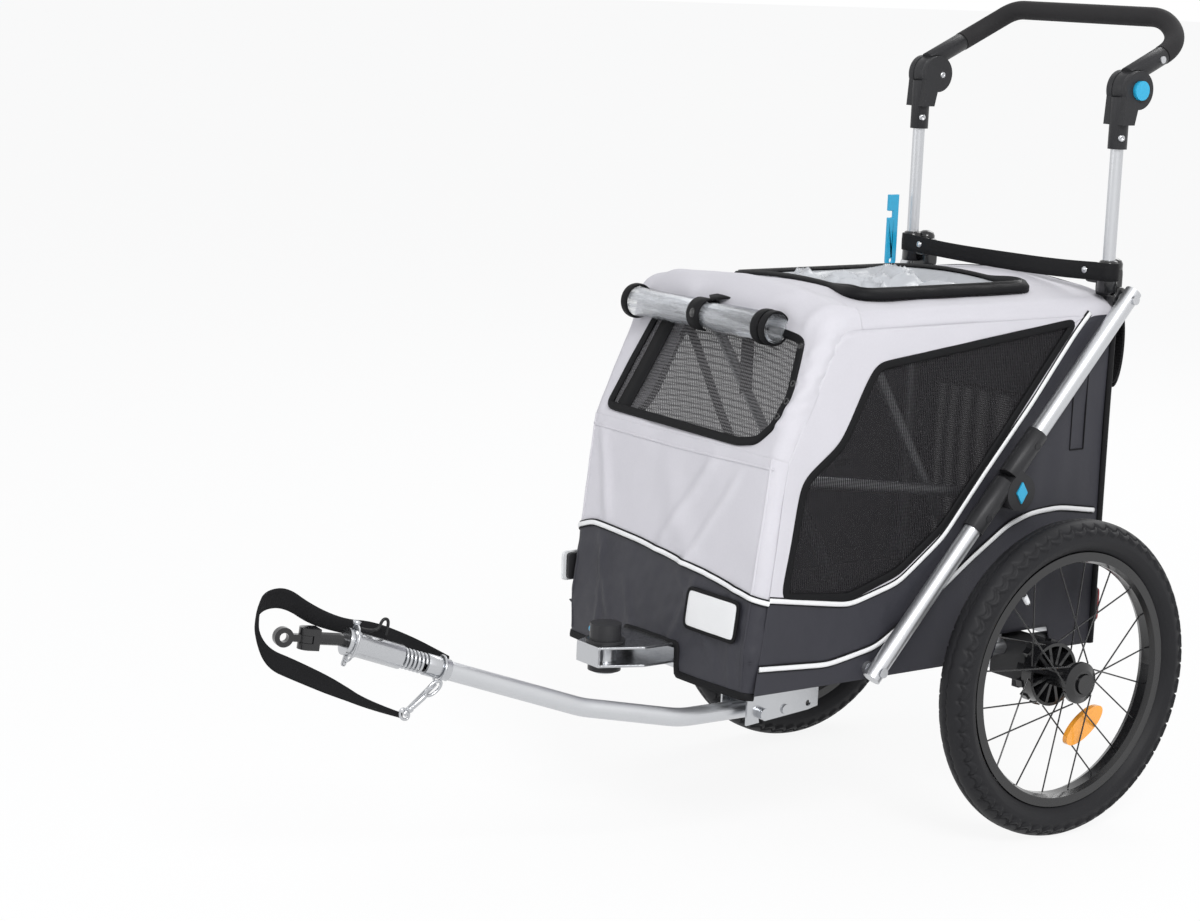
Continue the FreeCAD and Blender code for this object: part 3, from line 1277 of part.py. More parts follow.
def make_bracket():
    """Inverted channel of sheet steel under the front of the frame."""
    x0 = bracket_x - bracket_half_width
    x1 = bracket_x + bracket_half_width
    top = box(x0, x1, bracket_front_y, bracket_rear_y, bracket_top_z - bracket_plate, bracket_top_z)
    flange_line = [
        (bracket_front_y, bracket_top_z), (bracket_rear_y, bracket_top_z), (bracket_rear_y, bracket_rear_bottom_z),
        (bracket_spare_y, bracket_rear_bottom_z - bracket_plate), (bracket_front_y, bracket_front_bottom_z),
    ]
    flanges = [side_plate(flange_line, x0, x0 + bracket_plate), side_plate(flange_line, x1 - bracket_plate, x1)]
    slot_half = tow_bolt_radius + lock_slot_gap
    slots = []
    for i in range(lock_slot_steps + 1):
        swing = math.radians(lock_slot_deg * i / lock_slot_steps)
        slots.append(cross_rod(x0 - overrun, x1 + overrun, tow_pivot_y + (tow_lock_y - tow_pivot_y) * math.cos(swing),
                               tow_pivot_z + fit_gap + (tow_lock_y - tow_pivot_y) * math.sin(swing), slot_half))
    spare = cross_rod(x0 - overrun, x1 + overrun, bracket_spare_y, bracket_spare_z, bracket_spare_radius)
    channel = holed(joined(top, *flanges), spare, *slots)
    bolt = cross_rod(x0 + bracket_plate / 2, x1 - bracket_plate / 2, tow_pivot_y, tow_pivot_z, tow_bolt_radius)
    heads = [
        cross_rod(x1, x1 + rivet_head_height, tow_pivot_y, tow_pivot_z, rivet_head_radius),
        cross_rod(x0 - rivet_head_height, x0, tow_pivot_y, tow_pivot_z, rivet_head_radius),
    ]
    save("tow_bracket", joined(channel, bolt, *heads))


def tow_points():
    """Corners of the tow bar from its rear end to the spring."""
    return [
        vec(bracket_x, tow_pivot_y + tow_rear_overhang, tow_pivot_z),
        vec(bracket_x, tow_first_y, tow_first_z),
        vec(tow_bend_x, tow_bend_y, tow_bend_z),
        vec(tow_front_x, tow_front_y, tow_front_z),
    ]


def hitch_axis():
    """Start of the hitch at the tow bar's front end, and its direction."""
    start = tow_points()[-1]
    return start, (vec(hitch_x, hitch_y, hitch_z) - start).normalize()


def make_tow_bar():
    """Bent tow bar with collar, spring, hitch socket and its lock pin."""
    points = tow_points()
    bar = bent_bar(points, tow_radius, tow_bend)
    inner = bent_bar(points, tow_radius - tow_wall, tow_bend)
    holes = [
        cross_rod(0, 2 * bracket_x, tow_pivot_y, tow_pivot_z, tow_bolt_radius + tow_bolt_fit),
        cross_rod(0, 2 * bracket_x, tow_lock_y, tow_pivot_z + fit_gap, tow_bolt_radius + tow_bolt_fit),
    ]
    tube = holed(bar, inner, *holes)
    start, along = hitch_axis()
    back = (points[2] - points[3]).normalize()
    collar_start = points[3] + back * collar_length
    collar = rod(collar_start, points[3], collar_radius)
    collar = collar.cut(rod(collar_start + back * overrun, points[3] - back * overrun, tow_radius + fit_gap))
    core = rod(start, start + along * (spring_length + hitch_length / 3), spring_core_radius)
    save("tow_bar", tube)
    save_hitch(start, along, collar, core)
    save_spring(start, along)

    x_out = bracket_x + bracket_half_width
    x_in = bracket_x - bracket_half_width
    pin = cross_rod(x_in - lock_pin_head, x_out + fit_gap, tow_lock_y, tow_pivot_z + fit_gap, tow_bolt_radius)
    head = cross_rod(x_out + fit_gap, x_out + lock_pin_head_length, tow_lock_y, tow_pivot_z + fit_gap, lock_pin_head)
    save("tow_lock_pin", joined(pin, head))


def save_hitch(start, along, collar, core):
    """Silver sleeve with a lipped mouth for the coupler's stem, and the collar behind the spring."""
    rear = start + along * spring_length
    front = rear + along * hitch_length
    sleeve = rod(rear, front, hitch_radius)
    lip = rod(front - along * hitch_lip, front, hitch_lip_radius)
    mouth = rod(front - along * hitch_bore_depth, front + along * overrun, hitch_bore_radius)
    up = along.cross(AXIS_X).normalize() * -1
    if up.z < 0:
        up = up * -1
    pin_at = front - along * (hitch_lip / 2)
    pin_hole = rod(pin_at - up * 2 * hitch_lip_radius, pin_at + up * 2 * hitch_lip_radius,
                   hitch_pin_radius + hitch_pin_fit)
    body = holed(joined(sleeve, lip, core), mouth, pin_hole)
    save("hitch_socket", body, collar)
    save_coupler(front, along, up, pin_hole)
    save_hitch_pin(pin_at, up, along)


def save_hitch_pin(at, up, along):
    """Linch pin through the hitch socket, with its cord that stands as a loop on the sleeve."""
    pin = rod(at - up * (hitch_lip_radius + hitch_pin_up), at + up * (hitch_lip_radius + hitch_pin_up / 2),
              hitch_pin_radius)
    head = rod(at + up * (hitch_lip_radius + seam_gap), at + up * (hitch_lip_radius + hitch_pin_up / 2),
               2 * hitch_pin_radius)
    low = hitch_lip_radius + seam_gap + lanyard_radius
    rear = at - along * lanyard_reach
    loop = bent_bar([
        at + up * low - along * (2 * hitch_pin_radius + fit_gap), rear + up * low, rear + up * (low + lanyard_height),
        rear - along * lanyard_width + up * (low + lanyard_height), rear - along * lanyard_width + up * low,
    ], lanyard_radius, lanyard_width / 3)
    save("hitch_pin", joined(pin, head), loop)


def save_coupler(front, along, up, pin_hole):
    """Black coupler: a stem held in the socket and a swivelling plate for the bicycle's axle."""
    neck = front + along * stem_neck
    level = vec(along.x, along.y, 0).normalize()
    slope = math.radians(stem_slope_deg)
    ahead = level * math.cos(slope) + AXIS_Z * math.sin(slope)
    stem_end = neck + ahead * stem_length
    stem = bent_bar([front - along * (hitch_bore_depth - seam_gap), neck, stem_end], stem_radius, 2 * stem_neck)
    hinge = stem_end + ahead * (fork_length / 2)
    along = ahead
    side = along.cross(AXIS_Z).normalize()
    up = side.cross(along).normalize()

    def block(centre, long, wide, tall):
        shape = Part.makeBox(long, wide, tall, vec(-long / 2, -wide / 2, -tall / 2))
        matrix = FreeCAD.Matrix(along.x, side.x, up.x, centre.x, along.y, side.y, up.y, centre.y,
                                along.z, side.z, up.z, centre.z, 0, 0, 0, 1)
        shape.transformShape(matrix)
        return shape

    yoke = block(hinge - along * (fork_length / 4), fork_length / 2, fork_width, fork_height)
    eye = rod(hinge - up * fork_height / 2, hinge + up * fork_height / 2, fork_width / 2)
    slot_tall = fork_tongue + 2 * fork_gap
    slot = rod(hinge - up * slot_tall / 2, hinge + up * slot_tall / 2, fork_width / 2 + 2 * fork_gap)
    slot_ahead = block(hinge + along * fork_length / 2, fork_length, 2 * fork_width, slot_tall)
    pivot = rod(hinge - up * fork_height / 2, hinge + up * fork_height / 2, fork_pin_radius)
    fork = joined(stem, yoke, eye)
    fork = joined(holed(fork, slot, slot_ahead, pin_hole), pivot)
    save("coupler_stem", fork)

    tongue = rod(hinge - up * fork_tongue / 2, hinge + up * fork_tongue / 2, fork_width / 2 - fork_gap)
    reach = hinge + along * coupler_reach
    bar = block(hinge + along * coupler_reach / 2, coupler_reach, coupler_plate, fork_tongue)
    ring = rod(reach - side * coupler_plate / 2, reach + side * coupler_plate / 2, coupler_ring_radius)
    plate = joined(tongue, bar, ring)
    hinge_hole = rod(hinge - up * fork_height, hinge + up * fork_height, fork_pin_radius + stub_fit)
    hole = rod(reach - side * coupler_plate, reach + side * coupler_plate, coupler_hole_radius)
    save("axle_coupler", holed(plate, hinge_hole, hole))


def save_spring(start, along):
    """Coil between the collar and the hitch socket."""
    length = spring_length - 2 * spring_wire - 2 * seam_gap
    pitch = length / spring_turns
    helix = Part.makeHelix(pitch, length, spring_radius)
    section = Part.Wire(Part.makeCircle(spring_wire, vec(spring_radius, 0, 0), AXIS_Y))
    coil = Part.Wire(helix).makePipeShell([section], True, True)
    turn = FreeCAD.Rotation(AXIS_Z, along)
    coil.Placement = FreeCAD.Placement(start + along * (spring_wire + seam_gap), turn)
    gap = pitch - 2 * spring_wire
    print(f"spring: least gap between turns {gap:.2f} mm")
    save("tow_spring", coil)


def ribbon(sections):
    """A closed solid through four-cornered sections, with each side in two triangles."""
    faces = [outline_face(sections[0]), outline_face(sections[-1])]
    for near, far in zip(sections, sections[1:]):
        for i, corner in enumerate(near):
            j = (i + 1) % len(near)
            faces.append(outline_face([corner, near[j], far[j]]))
            faces.append(outline_face([corner, far[j], far[i]]))
    shell = Part.makeShell(faces)
    shell.sewShape()
    solid = Part.makeSolid(shell)
    return solid if solid.Volume > 0 else solid.reversed()


def make_tether():
    """Webbing strap round the bicycle's frame, with its ring and snap hook."""
    sections = []
    count = len(strap_route)
    for i, place in enumerate(strap_route):
        before = vec(*strap_route[max(i - 1, 0)])
        after = vec(*strap_route[min(i + 1, count - 1)])
        ahead = after - before
        ahead.z = 0
        normal = ahead.normalize().cross(AXIS_Z) * (strap_thickness / 2)
        rise = AXIS_Z * (strap_width / 2 * strap_height_shares[i])
        centre = vec(*place)
        sections.append([centre - normal - rise, centre + normal - rise, centre + normal + rise,
                         centre - normal + rise])
    save("safety_strap", ribbon(sections))

    points = tow_points()
    back = (points[2] - points[3]).normalize()
    at = points[3] + back * (collar_length * 2 / 3) - AXIS_Z * (tether_ring_radius - collar_radius - fit_gap)
    ring = Part.makeTorus(tether_ring_radius + tether_wire, tether_wire, at, back)
    down = (back * AXIS_Z.dot(back) - AXIS_Z).normalize()
    ring_low = at + down * (tether_ring_radius + 2 * tether_wire)
    strap_end = vec(*strap_route[-1])
    hook = (ring_low - strap_end).normalize()
    save("tether_fittings", ring, rod(strap_end + hook * snap_radius * snap_seat_share,
                                     ring_low - hook * snap_radius / 4, snap_radius))


def main():
    """Build every piece."""
    for side in (1, -1):
        make_wheel(side)
    make_axle()
    make_brake()
    make_floor()
    make_rear_frame()
    make_handle()
    make_struts()
    make_hoops()
    make_fabric()
    make_trim()
    make_socket()
    make_bracket()
    make_tow_bar()
    make_tether()


main()
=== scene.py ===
"""Looks for a folding pet bicycle trailer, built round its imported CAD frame.

Lengths are millimetres measured from the wheel axle: x to the trailer's left, y to the rear, z up,
with zero on the ground under the axle. to_row() turns them into the frame's metres.
"""
from __future__ import annotations

import logging
import math
from dataclasses import dataclass, field
from enum import Enum
from typing import Sequence

import bmesh
import bpy
import numpy as np
from mathutils import Matrix, Vector


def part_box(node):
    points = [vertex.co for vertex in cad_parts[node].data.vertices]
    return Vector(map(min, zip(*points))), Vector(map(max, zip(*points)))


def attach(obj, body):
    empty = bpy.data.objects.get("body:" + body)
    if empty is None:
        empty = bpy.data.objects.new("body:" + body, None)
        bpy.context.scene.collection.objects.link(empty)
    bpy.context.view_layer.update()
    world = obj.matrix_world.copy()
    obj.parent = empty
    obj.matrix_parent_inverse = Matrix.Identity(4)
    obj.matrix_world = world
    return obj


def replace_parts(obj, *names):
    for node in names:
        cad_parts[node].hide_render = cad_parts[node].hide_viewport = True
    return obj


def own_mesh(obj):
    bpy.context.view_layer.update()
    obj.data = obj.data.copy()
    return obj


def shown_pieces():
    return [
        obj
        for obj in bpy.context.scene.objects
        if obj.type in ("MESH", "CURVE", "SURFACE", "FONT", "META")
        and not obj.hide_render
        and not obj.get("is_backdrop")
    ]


LOG = logging.getLogger("trailer")
MM = 0.001
Array = np.ndarray
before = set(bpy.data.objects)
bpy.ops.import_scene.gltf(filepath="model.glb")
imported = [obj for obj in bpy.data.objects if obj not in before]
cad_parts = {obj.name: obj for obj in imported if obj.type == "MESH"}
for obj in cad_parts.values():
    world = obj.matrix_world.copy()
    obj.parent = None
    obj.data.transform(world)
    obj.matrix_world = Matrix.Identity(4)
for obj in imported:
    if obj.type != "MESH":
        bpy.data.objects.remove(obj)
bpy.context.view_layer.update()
LOW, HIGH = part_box("tyre_left")
AXLE_PLACE = np.array([0.0, (LOW.y + HIGH.y) / 2, 0.0])
SIDES = ((1.0, "left"), (-1.0, "right"))
FULL_TURN = 2 * math.pi
GOLDEN_ANGLE = 2.399
HEM_Z = 214.0
CLOTH_WALL = 0.9
WELD_REACH = 2e-5
TINY = 1e-9
BAND_SHARE = 0.35
BAND_SLACK = 1.1
BLOCK_ROWS = 33
BLOCK_COLUMNS = 64
LATHE_SIDES = 32


def to_row(points: Array) -> Array:
    """Turn axle-frame millimetres, with x, y, z on the last axis, into the frame's metres."""
    return np.asarray(points, float) * MM + AXLE_PLACE


def smooth(t: Array) -> Array:
    """Ease from 0 to 1: three squares less two cubes of the clipped share."""
    t = np.clip(t, 0, 1)
    return t * t * (3 - 2 * t)


def unit(v: Array) -> Array:
    """Scale vectors on the last axis to length one."""
    return v / np.maximum(np.linalg.norm(v, axis=-1, keepdims=True), TINY)


def closed_line(points: Array) -> Array:
    """A line that ends where it starts."""
    return np.vstack([points, points[:1]])


def distances(points: Array) -> Array:
    """How far along a line each of its points is."""
    return np.concatenate([[0], np.cumsum(np.linalg.norm(np.diff(points, axis=0), axis=1))])


def waves(u: Array, v: Array, pitch: float, seed: float) -> Array:
    """A soft uneven surface: a sum of five sine sheets at turned angles.

    Args:
        u: one coordinate.
        v: the other.
        pitch: length of the longest wave.
        seed: turns and shifts the sheets.

    Returns:
        Heights between about -1 and 1.
    """
    total = np.zeros(np.broadcast(u, v).shape)
    for i in range(5):
        turn = seed * 1.7 + i * GOLDEN_ANGLE
        k = FULL_TURN / pitch * (0.7 + 0.33 * i)
        total = total + np.sin(k * (u * math.cos(turn) + v * math.sin(turn)) + seed * (3 + i)) / (1 + 0.6 * i)
    return total / 2.6


@dataclass(frozen=True)
class Fold:
    """A ridge in cloth between two places of its flat pattern."""

    start: tuple[float, float]
    end: tuple[float, float]
    width: float = 12.0
    height: float = 3.0

    def rise(self, u: Array, v: Array) -> Array:
        """Height of the ridge: a bell across it, faded out towards both ends."""
        a, b = np.array(self.start), np.array(self.end)
        d = b - a
        long = float(np.hypot(*d))
        t = ((u - a[0]) * d[0] + (v - a[1]) * d[1]) / long ** 2
        off = ((u - a[0]) * -d[1] + (v - a[1]) * d[0]) / long
        fade = smooth(t * 4 + 0.6) * smooth((1 - t) * 4 + 0.6)
        return self.height * np.exp(-(off / self.width) ** 2) * fade


def folded(folds: Sequence[Fold], u: Array, v: Array) -> Array:
    """The sum of several ridges."""
    total = np.zeros(np.broadcast(u, v).shape)
    for fold in folds:
        total = total + fold.rise(u, v)
    return total


def resampled(points: Sequence, count: int) -> Array:
    """As many points as asked for, spaced evenly along a line."""
    p = np.asarray(points, float)
    along = distances(p)
    at = np.linspace(0, along[-1], count)
    return np.stack([np.interp(at, along, p[:, i]) for i in range(p.shape[1])], axis=1)


def rounded(points: Array, passes: int, closed: bool = True) -> Array:
    """Round a line's corners by averaging each point with its neighbours, again and again.

    Args:
        points: the line.
        passes: how often.
        closed: whether the line's ends meet; the ends of an open line stay put.

    Returns:
        The rounded line.
    """
    p = np.asarray(points, float).copy()
    for _ in range(passes):
        if closed:
            p = (np.roll(p, 1, 0) + 2 * p + np.roll(p, -1, 0)) / 4
        else:
            p[1:-1] = (p[:-2] + 2 * p[1:-1] + p[2:]) / 4
    return p


def outline(corners: Sequence, counts: Sequence[int]) -> Array:
    """Points round a closed shape, so many from each corner on to the next."""
    rows = []
    for i, n in enumerate(counts):
        t = np.arange(n)[:, None] / n
        rows.append(np.array(corners[i]) * (1 - t) + np.array(corners[(i + 1) % len(corners)]) * t)
    return np.vstack(rows)


def border(lines: Sequence[Array], counts: Sequence[int]) -> Array:
    """Points round a closed shape given as the lines of its sides, so many on each."""
    return np.vstack([resampled(line, n + 1)[:-1] for line, n in zip(lines, counts)])


def between(low: Array, high: Array, rows: int) -> Array:
    """A grid of points from one line to another: a straight blend of the two."""
    t = np.linspace(0, 1, rows)[:, None, None]
    return low[None] * (1 - t) + high[None] * t


def shrunk(loop: Array, rows: int, start: float = 1.0) -> tuple[Array, Array]:
    """Rows of points that shrink from a closed outline to its middle.

    Args:
        loop: the outline.
        rows: how many rows.
        start: the first row's share of the way out.

    Returns:
        The grid of points, and each row's share of the way out.
    """
    share = np.linspace(start, 0, rows)[:, None, None]
    middle = loop.mean(0)
    return middle + (loop[None] - middle) * share, share[..., 0]


def cut_area(flat: Array, closed: bool = False) -> float:
    """Area of a flat cut in square metres: half the cross product of each cell's diagonals, summed."""
    if closed:
        flat = np.concatenate([flat, flat[:, :1]], axis=1)
    a = flat[1:, 1:] - flat[:-1, :-1]
    b = flat[1:, :-1] - flat[:-1, 1:]
    return float(np.abs(a[..., 0] * b[..., 1] - a[..., 1] * b[..., 0]).sum() / 2 * MM * MM)


def declare(flat: Array, closed: bool = False
            ) -> None:
    """Work out a cloth piece's reach and the area of its own flat cut; neither is kept or given back.

    Args:
        flat: its grid in the flat pattern, in millimetres.
        closed: whether the grid's last column joins the first. For a ring that is mostly hole the reach is worked out
            as the band that it is.
    """
    reach = (flat.reshape(-1, 2).max(0) - flat.reshape(-1, 2).min(0)) * MM
    area = cut_area(flat, closed)
    if area < BAND_SHARE * reach[0] * reach[1]:
        middle = flat[len(flat) // 2]
        long = float(np.linalg.norm(np.diff(middle, axis=0), axis=1).sum()) * MM
        reach = np.array([long, BAND_SLACK * area / long])


def grid_faces(nu: int, nv: int, wrap_u: bool, wrap_v: bool, start: int = 0) -> Array:
    """Quads of a grid whose points are stored row by row."""
    iu = np.arange(nu if wrap_u else nu - 1)
    iv = np.arange(nv if wrap_v else nv - 1)
    a, b = np.meshgrid(iu, iv, indexing="ij")
    a2, b2 = (a + 1) % nu, (b + 1) % nv
    quads = np.stack([a * nv + b, a2 * nv + b, a2 * nv + b2, a * nv + b2], axis=-1)
    return quads.reshape(-1, 4) + start


def tube_points(path: Array, radius: float, sides: int) -> Array:
    """Rings round a path: centre plus radius times cosine along side and sine along up.

    Args:
        path: the centreline.
        radius: the tube's radius.
        sides: points in a ring.

    Returns:
        A grid of rings by points; each ring's up vector is the last one's, turned square to the path.
    """
    ahead = unit(np.gradient(path, axis=0))
    up = np.zeros_like(path)
    up[0] = [0, 0, 1.0] if abs(ahead[0, 2]) < 0.9 else [1.0, 0, 0]
    for i in range(1, len(path)):
        v = up[i - 1] - ahead[i] * (up[i - 1] @ ahead[i])
        up[i] = v / max(np.linalg.norm(v), TINY)
    side = unit(np.cross(ahead, up))
    rise = unit(np.cross(side, ahead))
    angle = np.linspace(0, FULL_TURN, sides, endpoint=False)
    ring = side[:, None] * np.cos(angle)[None, :, None] + rise[:, None] * np.sin(angle)[None, :, None]
    return path[:, None] + radius * ring


def strip_points(path: Array, normal: Array, section: Sequence[tuple[float, float]]) -> Array:
    """A section of (across, out) carried along a path on a surface with the given normals."""
    across = unit(np.cross(normal, unit(np.gradient(path, axis=0))))
    out = unit(normal)
    s = np.array(section, float)
    return path[:, None] + across[:, None] * s[None, :, 0, None] + out[:, None] * s[None, :, 1, None]


def welt(half: float, height: float, foot: float) -> tuple:
    """Section of a sewn strip: flat on top, sloping shoulders and a foot sunk in the cloth."""
    return ((-half, foot), (-half, height * 0.6), (-half * 0.5, height), (half * 0.5, height),
            (half, height * 0.6), (half, foot))


def lathe_points(profile: Sequence[tuple[float, float]], centre: Sequence[float], axis: Sequence[float],
                 sides: int = LATHE_SIDES) -> Array:
    """A (along, radius) profile turned about an axis.

    Args:
        profile: places along the axis with their radii.
        centre: where along is zero.
        axis: its direction.
        sides: points in a ring.

    Returns:
        A grid of rings by points.
    """
    axis = unit(np.asarray(axis, float))
    helper = np.array([0, 0, 1.0]) if abs(axis[2]) < 0.9 else np.array([0, 1.0, 0])
    a = unit(np.cross(helper, axis))
    b = np.cross(axis, a)
    angle = np.linspace(0, FULL_TURN, sides, endpoint=False)
    p = np.array(profile, float)
    ring = a * np.cos(angle)[:, None] + b * np.sin(angle)[:, None]
    return np.asarray(centre, float) + p[:, None, :1] * axis + p[:, None, 1:] * ring[None]


def powered(value: Array, power: float) -> Array:
    """A power of a number's size, with the number's sign."""
    return np.sign(value) * np.abs(value) ** power


def block_points(centre: Sequence[float], size: Sequence[float], power: float, turn: Array | None = None) -> Array:
    """A superellipsoid: signed powers of cosine and sine, so a power of 0.25 is a box with soft edges.

    Args:
        centre: its middle.
        size: half lengths along its own three axes.
        power: 1 is a ball and 0 a box.
        turn: rows are its own axes.

    Returns:
        A closed grid of points; the poles lie on its third axis.
    """
    v = np.linspace(-math.pi / 2, math.pi / 2, BLOCK_ROWS)[:, None]
    u = np.linspace(0, FULL_TURN, BLOCK_COLUMNS, endpoint=False)[None, :]
    level = powered(np.cos(v), power)
    local = np.stack([level * powered(np.cos(u), power) * size[0], level * powered(np.sin(u), power) * size[1],
                      powered(np.sin(v), power) * size[2] + 0 * u], -1)
    axes = np.eye(3) if turn is None else np.asarray(turn, float)
    return local @ axes + np.asarray(centre, float)


class Builder:
    """Gathers grids into one mesh object with a flat-pattern UV map in metres."""

    def __init__(self, name: str) -> None:
        """Start an empty mesh of that name."""
        self.name = name
        self.points: list[Array] = []
        self.faces: list[list[int]] = []
        self.pattern: list[Array] = []
        self.count = 0

    def grid(self, points: Array, wrap_u: bool = False, wrap_v: bool = False, pattern: Array | None = None
             ) -> Builder:
        """Add a grid of points.

        Args:
            points: rows of points in axle millimetres.
            wrap_u: whether the last row joins the first.
            wrap_v: whether the last column joins the first.
            pattern: each point's place in the flat cloth, in millimetres.

        Returns:
            The builder itself.
        """
        nu, nv = points.shape[:2]
        if pattern is None:
            du = np.linalg.norm(np.diff(points, axis=0, prepend=points[:1]), axis=-1).mean(1).cumsum()
            dv = np.linalg.norm(np.diff(points, axis=1, prepend=points[:, :1]), axis=-1).mean(0).cumsum()
            pattern = np.stack(np.meshgrid(du, dv, indexing="ij"), -1)
        self.points.append(points.reshape(-1, 3))
        self.pattern.append(np.asarray(pattern, float).reshape(-1, 2))
        self.faces += grid_faces(nu, nv, wrap_u, wrap_v, self.count).tolist()
        self.count += nu * nv
        return self

    def fan(self, ring: Array) -> Builder:
        """Close a ring of points with triangles to its middle."""
        start, n = self.count, len(ring)
        self.points.append(np.vstack([ring, ring.mean(0)[None]]))
        self.pattern.append(np.zeros((n + 1, 2)))
        self.faces += [[start + i, start + (i + 1) % n, start + n] for i in range(n)]
        self.count += n + 1
        return self

    def skin(self, rings: Array, loop: bool = False, pattern: Array | None = None) -> Builder:
        """Skin rings along a path, whose last is the first again round a loop and else gets a cap as it does."""
        if loop:
            return self.grid(rings[:-1], wrap_u=True, wrap_v=True)
        return self.grid(rings, wrap_v=True, pattern=pattern).fan(rings[0]).fan(rings[-1])

    def strip(self, path: Array, normal: Array, section: Sequence, loop: bool = False) -> Builder:
        """Carry a section along a path, or all round it."""
        if loop:
            path, normal = closed_line(path), closed_line(normal)
        return self.skin(strip_points(path, normal, section), loop)

    def wire(self, path: Array, radius: float, sides: int, loop: bool = False) -> Builder:
        """Carry a circle along a path, or all round it."""
        return self.skin(tube_points(closed_line(path) if loop else path, radius, sides), loop)

    def lathe(self, profile: Sequence, centre: Sequence[float], axis: Sequence[float], sides: int = LATHE_SIDES,
              ring: bool = False) -> Builder:
        """Turn a profile about an axis, as a body that ends on the axis or as a ring round it."""
        return self.grid(lathe_points(profile, centre, axis, sides), wrap_u=ring, wrap_v=True)

    def block(self, centre: Sequence[float], size: Sequence[float], power: float, turn: Array | None = None
              ) -> Builder:
        """Add a block with soft edges."""
        return self.grid(block_points(centre, size, power, turn), wrap_v=True)

    def build(self, body: str, finish: Finish, slot: str = "", thickness: float = 0.0, even: bool = True
              ) -> bpy.types.Object:
        """Make the object, give it its finish and let it ride on a body.

        Args:
            body: the CAD body it moves with.
            finish: its finish.
            slot: not used.
            thickness: wall added inwards, in millimetres.
            even: whether a wall keeps its thickness round corners.

        Returns:
            The finished object: touching points are one, and its faces look outwards.
        """
        mesh = bpy.data.meshes.new(self.name)
        mesh.from_pydata(to_row(np.vstack(self.points)).tolist(), [], self.faces)
        uv = mesh.uv_layers.new(name="pattern")
        index = np.zeros(len(mesh.loops), np.int32)
        mesh.loops.foreach_get("vertex_index", index)
        flat = (np.vstack(self.pattern) * MM)[index]
        uv.data.foreach_set("uv", flat.astype(np.float32).ravel())
        bm = bmesh.new()
        bm.from_mesh(mesh)
        bmesh.ops.remove_doubles(bm, verts=bm.verts, dist=WELD_REACH)
        bmesh.ops.recalc_face_normals(bm, faces=bm.faces)
        bm.to_mesh(mesh)
        bm.free()
        mesh.polygons.foreach_set("use_smooth", np.ones(len(mesh.polygons), bool))
        mesh.update()
        piece = bpy.data.objects.new(self.name, mesh)
        bpy.context.scene.collection.objects.link(piece)
        piece.data.materials.append(finish.material())
        if thickness:
            wall = piece.modifiers.new("wall", "SOLIDIFY")
            wall.thickness = thickness * MM
            wall.offset = -1
            wall.use_even_offset = even
        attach(piece, body)
        return piece

    def sew(self, finish: Finish, body: str = "trailer", slot: str = "", thickness: float = 0.0,
            even: bool = True) -> bpy.types.Object:
        """Build a piece of the cabin's cloth on a body, with a mesh of its own."""
        piece = self.build(body, finish, slot, thickness, even)
        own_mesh(piece)
        return piece


class Nodes:
    """Small helper that wires shader nodes inside one tree."""

    def __init__(self, tree: bpy.types.NodeTree) -> None:
        """Work in that tree."""
        self.tree = tree

    def add(self, kind: str, **values: object) -> bpy.types.Node:
        """Add a node; a value is a setting, or an input by its name as a number or a socket to link."""
        node = self.tree.nodes.new(kind)
        for name, value in values.items():
            if name not in node.inputs:
                setattr(node, name, value)
            elif isinstance(value, bpy.types.NodeSocket):
                self.link(value, node.inputs[name])
            else:
                node.inputs[name].default_value = value
        return node

    def math(self, operation: str, a: object, b: object = 0.0, c: object = 0.0) -> bpy.types.NodeSocket:
        """A math node of sockets or numbers."""
        node = self.tree.nodes.new("ShaderNodeMath")
        node.operation = operation
        for i, value in enumerate((a, b, c)):
            if isinstance(value, bpy.types.NodeSocket):
                self.link(value, node.inputs[i])
            else:
                node.inputs[i].default_value = value
        return node.outputs[0]

    def scaled(self, operation: str, place: bpy.types.NodeSocket, by: object) -> bpy.types.NodeSocket:
        """A vector multiplied or divided by another, a socket or numbers."""
        node = self.add("ShaderNodeVectorMath", operation=operation, Vector=place)
        if isinstance(by, bpy.types.NodeSocket):
            self.link(by, node.inputs[1])
        else:
            node.inputs[1].default_value = by
        return node.outputs[0]

    def split(self, place: bpy.types.NodeSocket) -> tuple[bpy.types.NodeSocket, bpy.types.NodeSocket]:
        """A vector's first two numbers."""
        node = self.add("ShaderNodeSeparateXYZ", Vector=place)
        return node.outputs[0], node.outputs[1]

    def seen(self) -> bpy.types.NodeSocket:
        """1 for the camera's rays, mirrored and passed on ones too, and 0 for light on matt surfaces."""
        path = self.add("ShaderNodeLightPath")
        mirror = self.math("MAXIMUM", path.outputs["Is Glossy Ray"], path.outputs["Is Transmission Ray"])
        return self.math("MAXIMUM", path.outputs["Is Camera Ray"], mirror)

    def mixed(self, share: bpy.types.NodeSocket, a: bpy.types.Node, b: bpy.types.Node, output: str) -> None:
        """Mix two shaders into an output node."""
        mix = self.add("ShaderNodeMixShader")
        for given, socket in zip((share, a.outputs[0], b.outputs[0]), mix.inputs):
            self.link(given, socket)
        self.link(mix.outputs[0], self.add(output).inputs[0])

    def link(self, a: bpy.types.NodeSocket, b: bpy.types.NodeSocket) -> None:
        """Join two sockets."""
        self.tree.links.new(a, b)


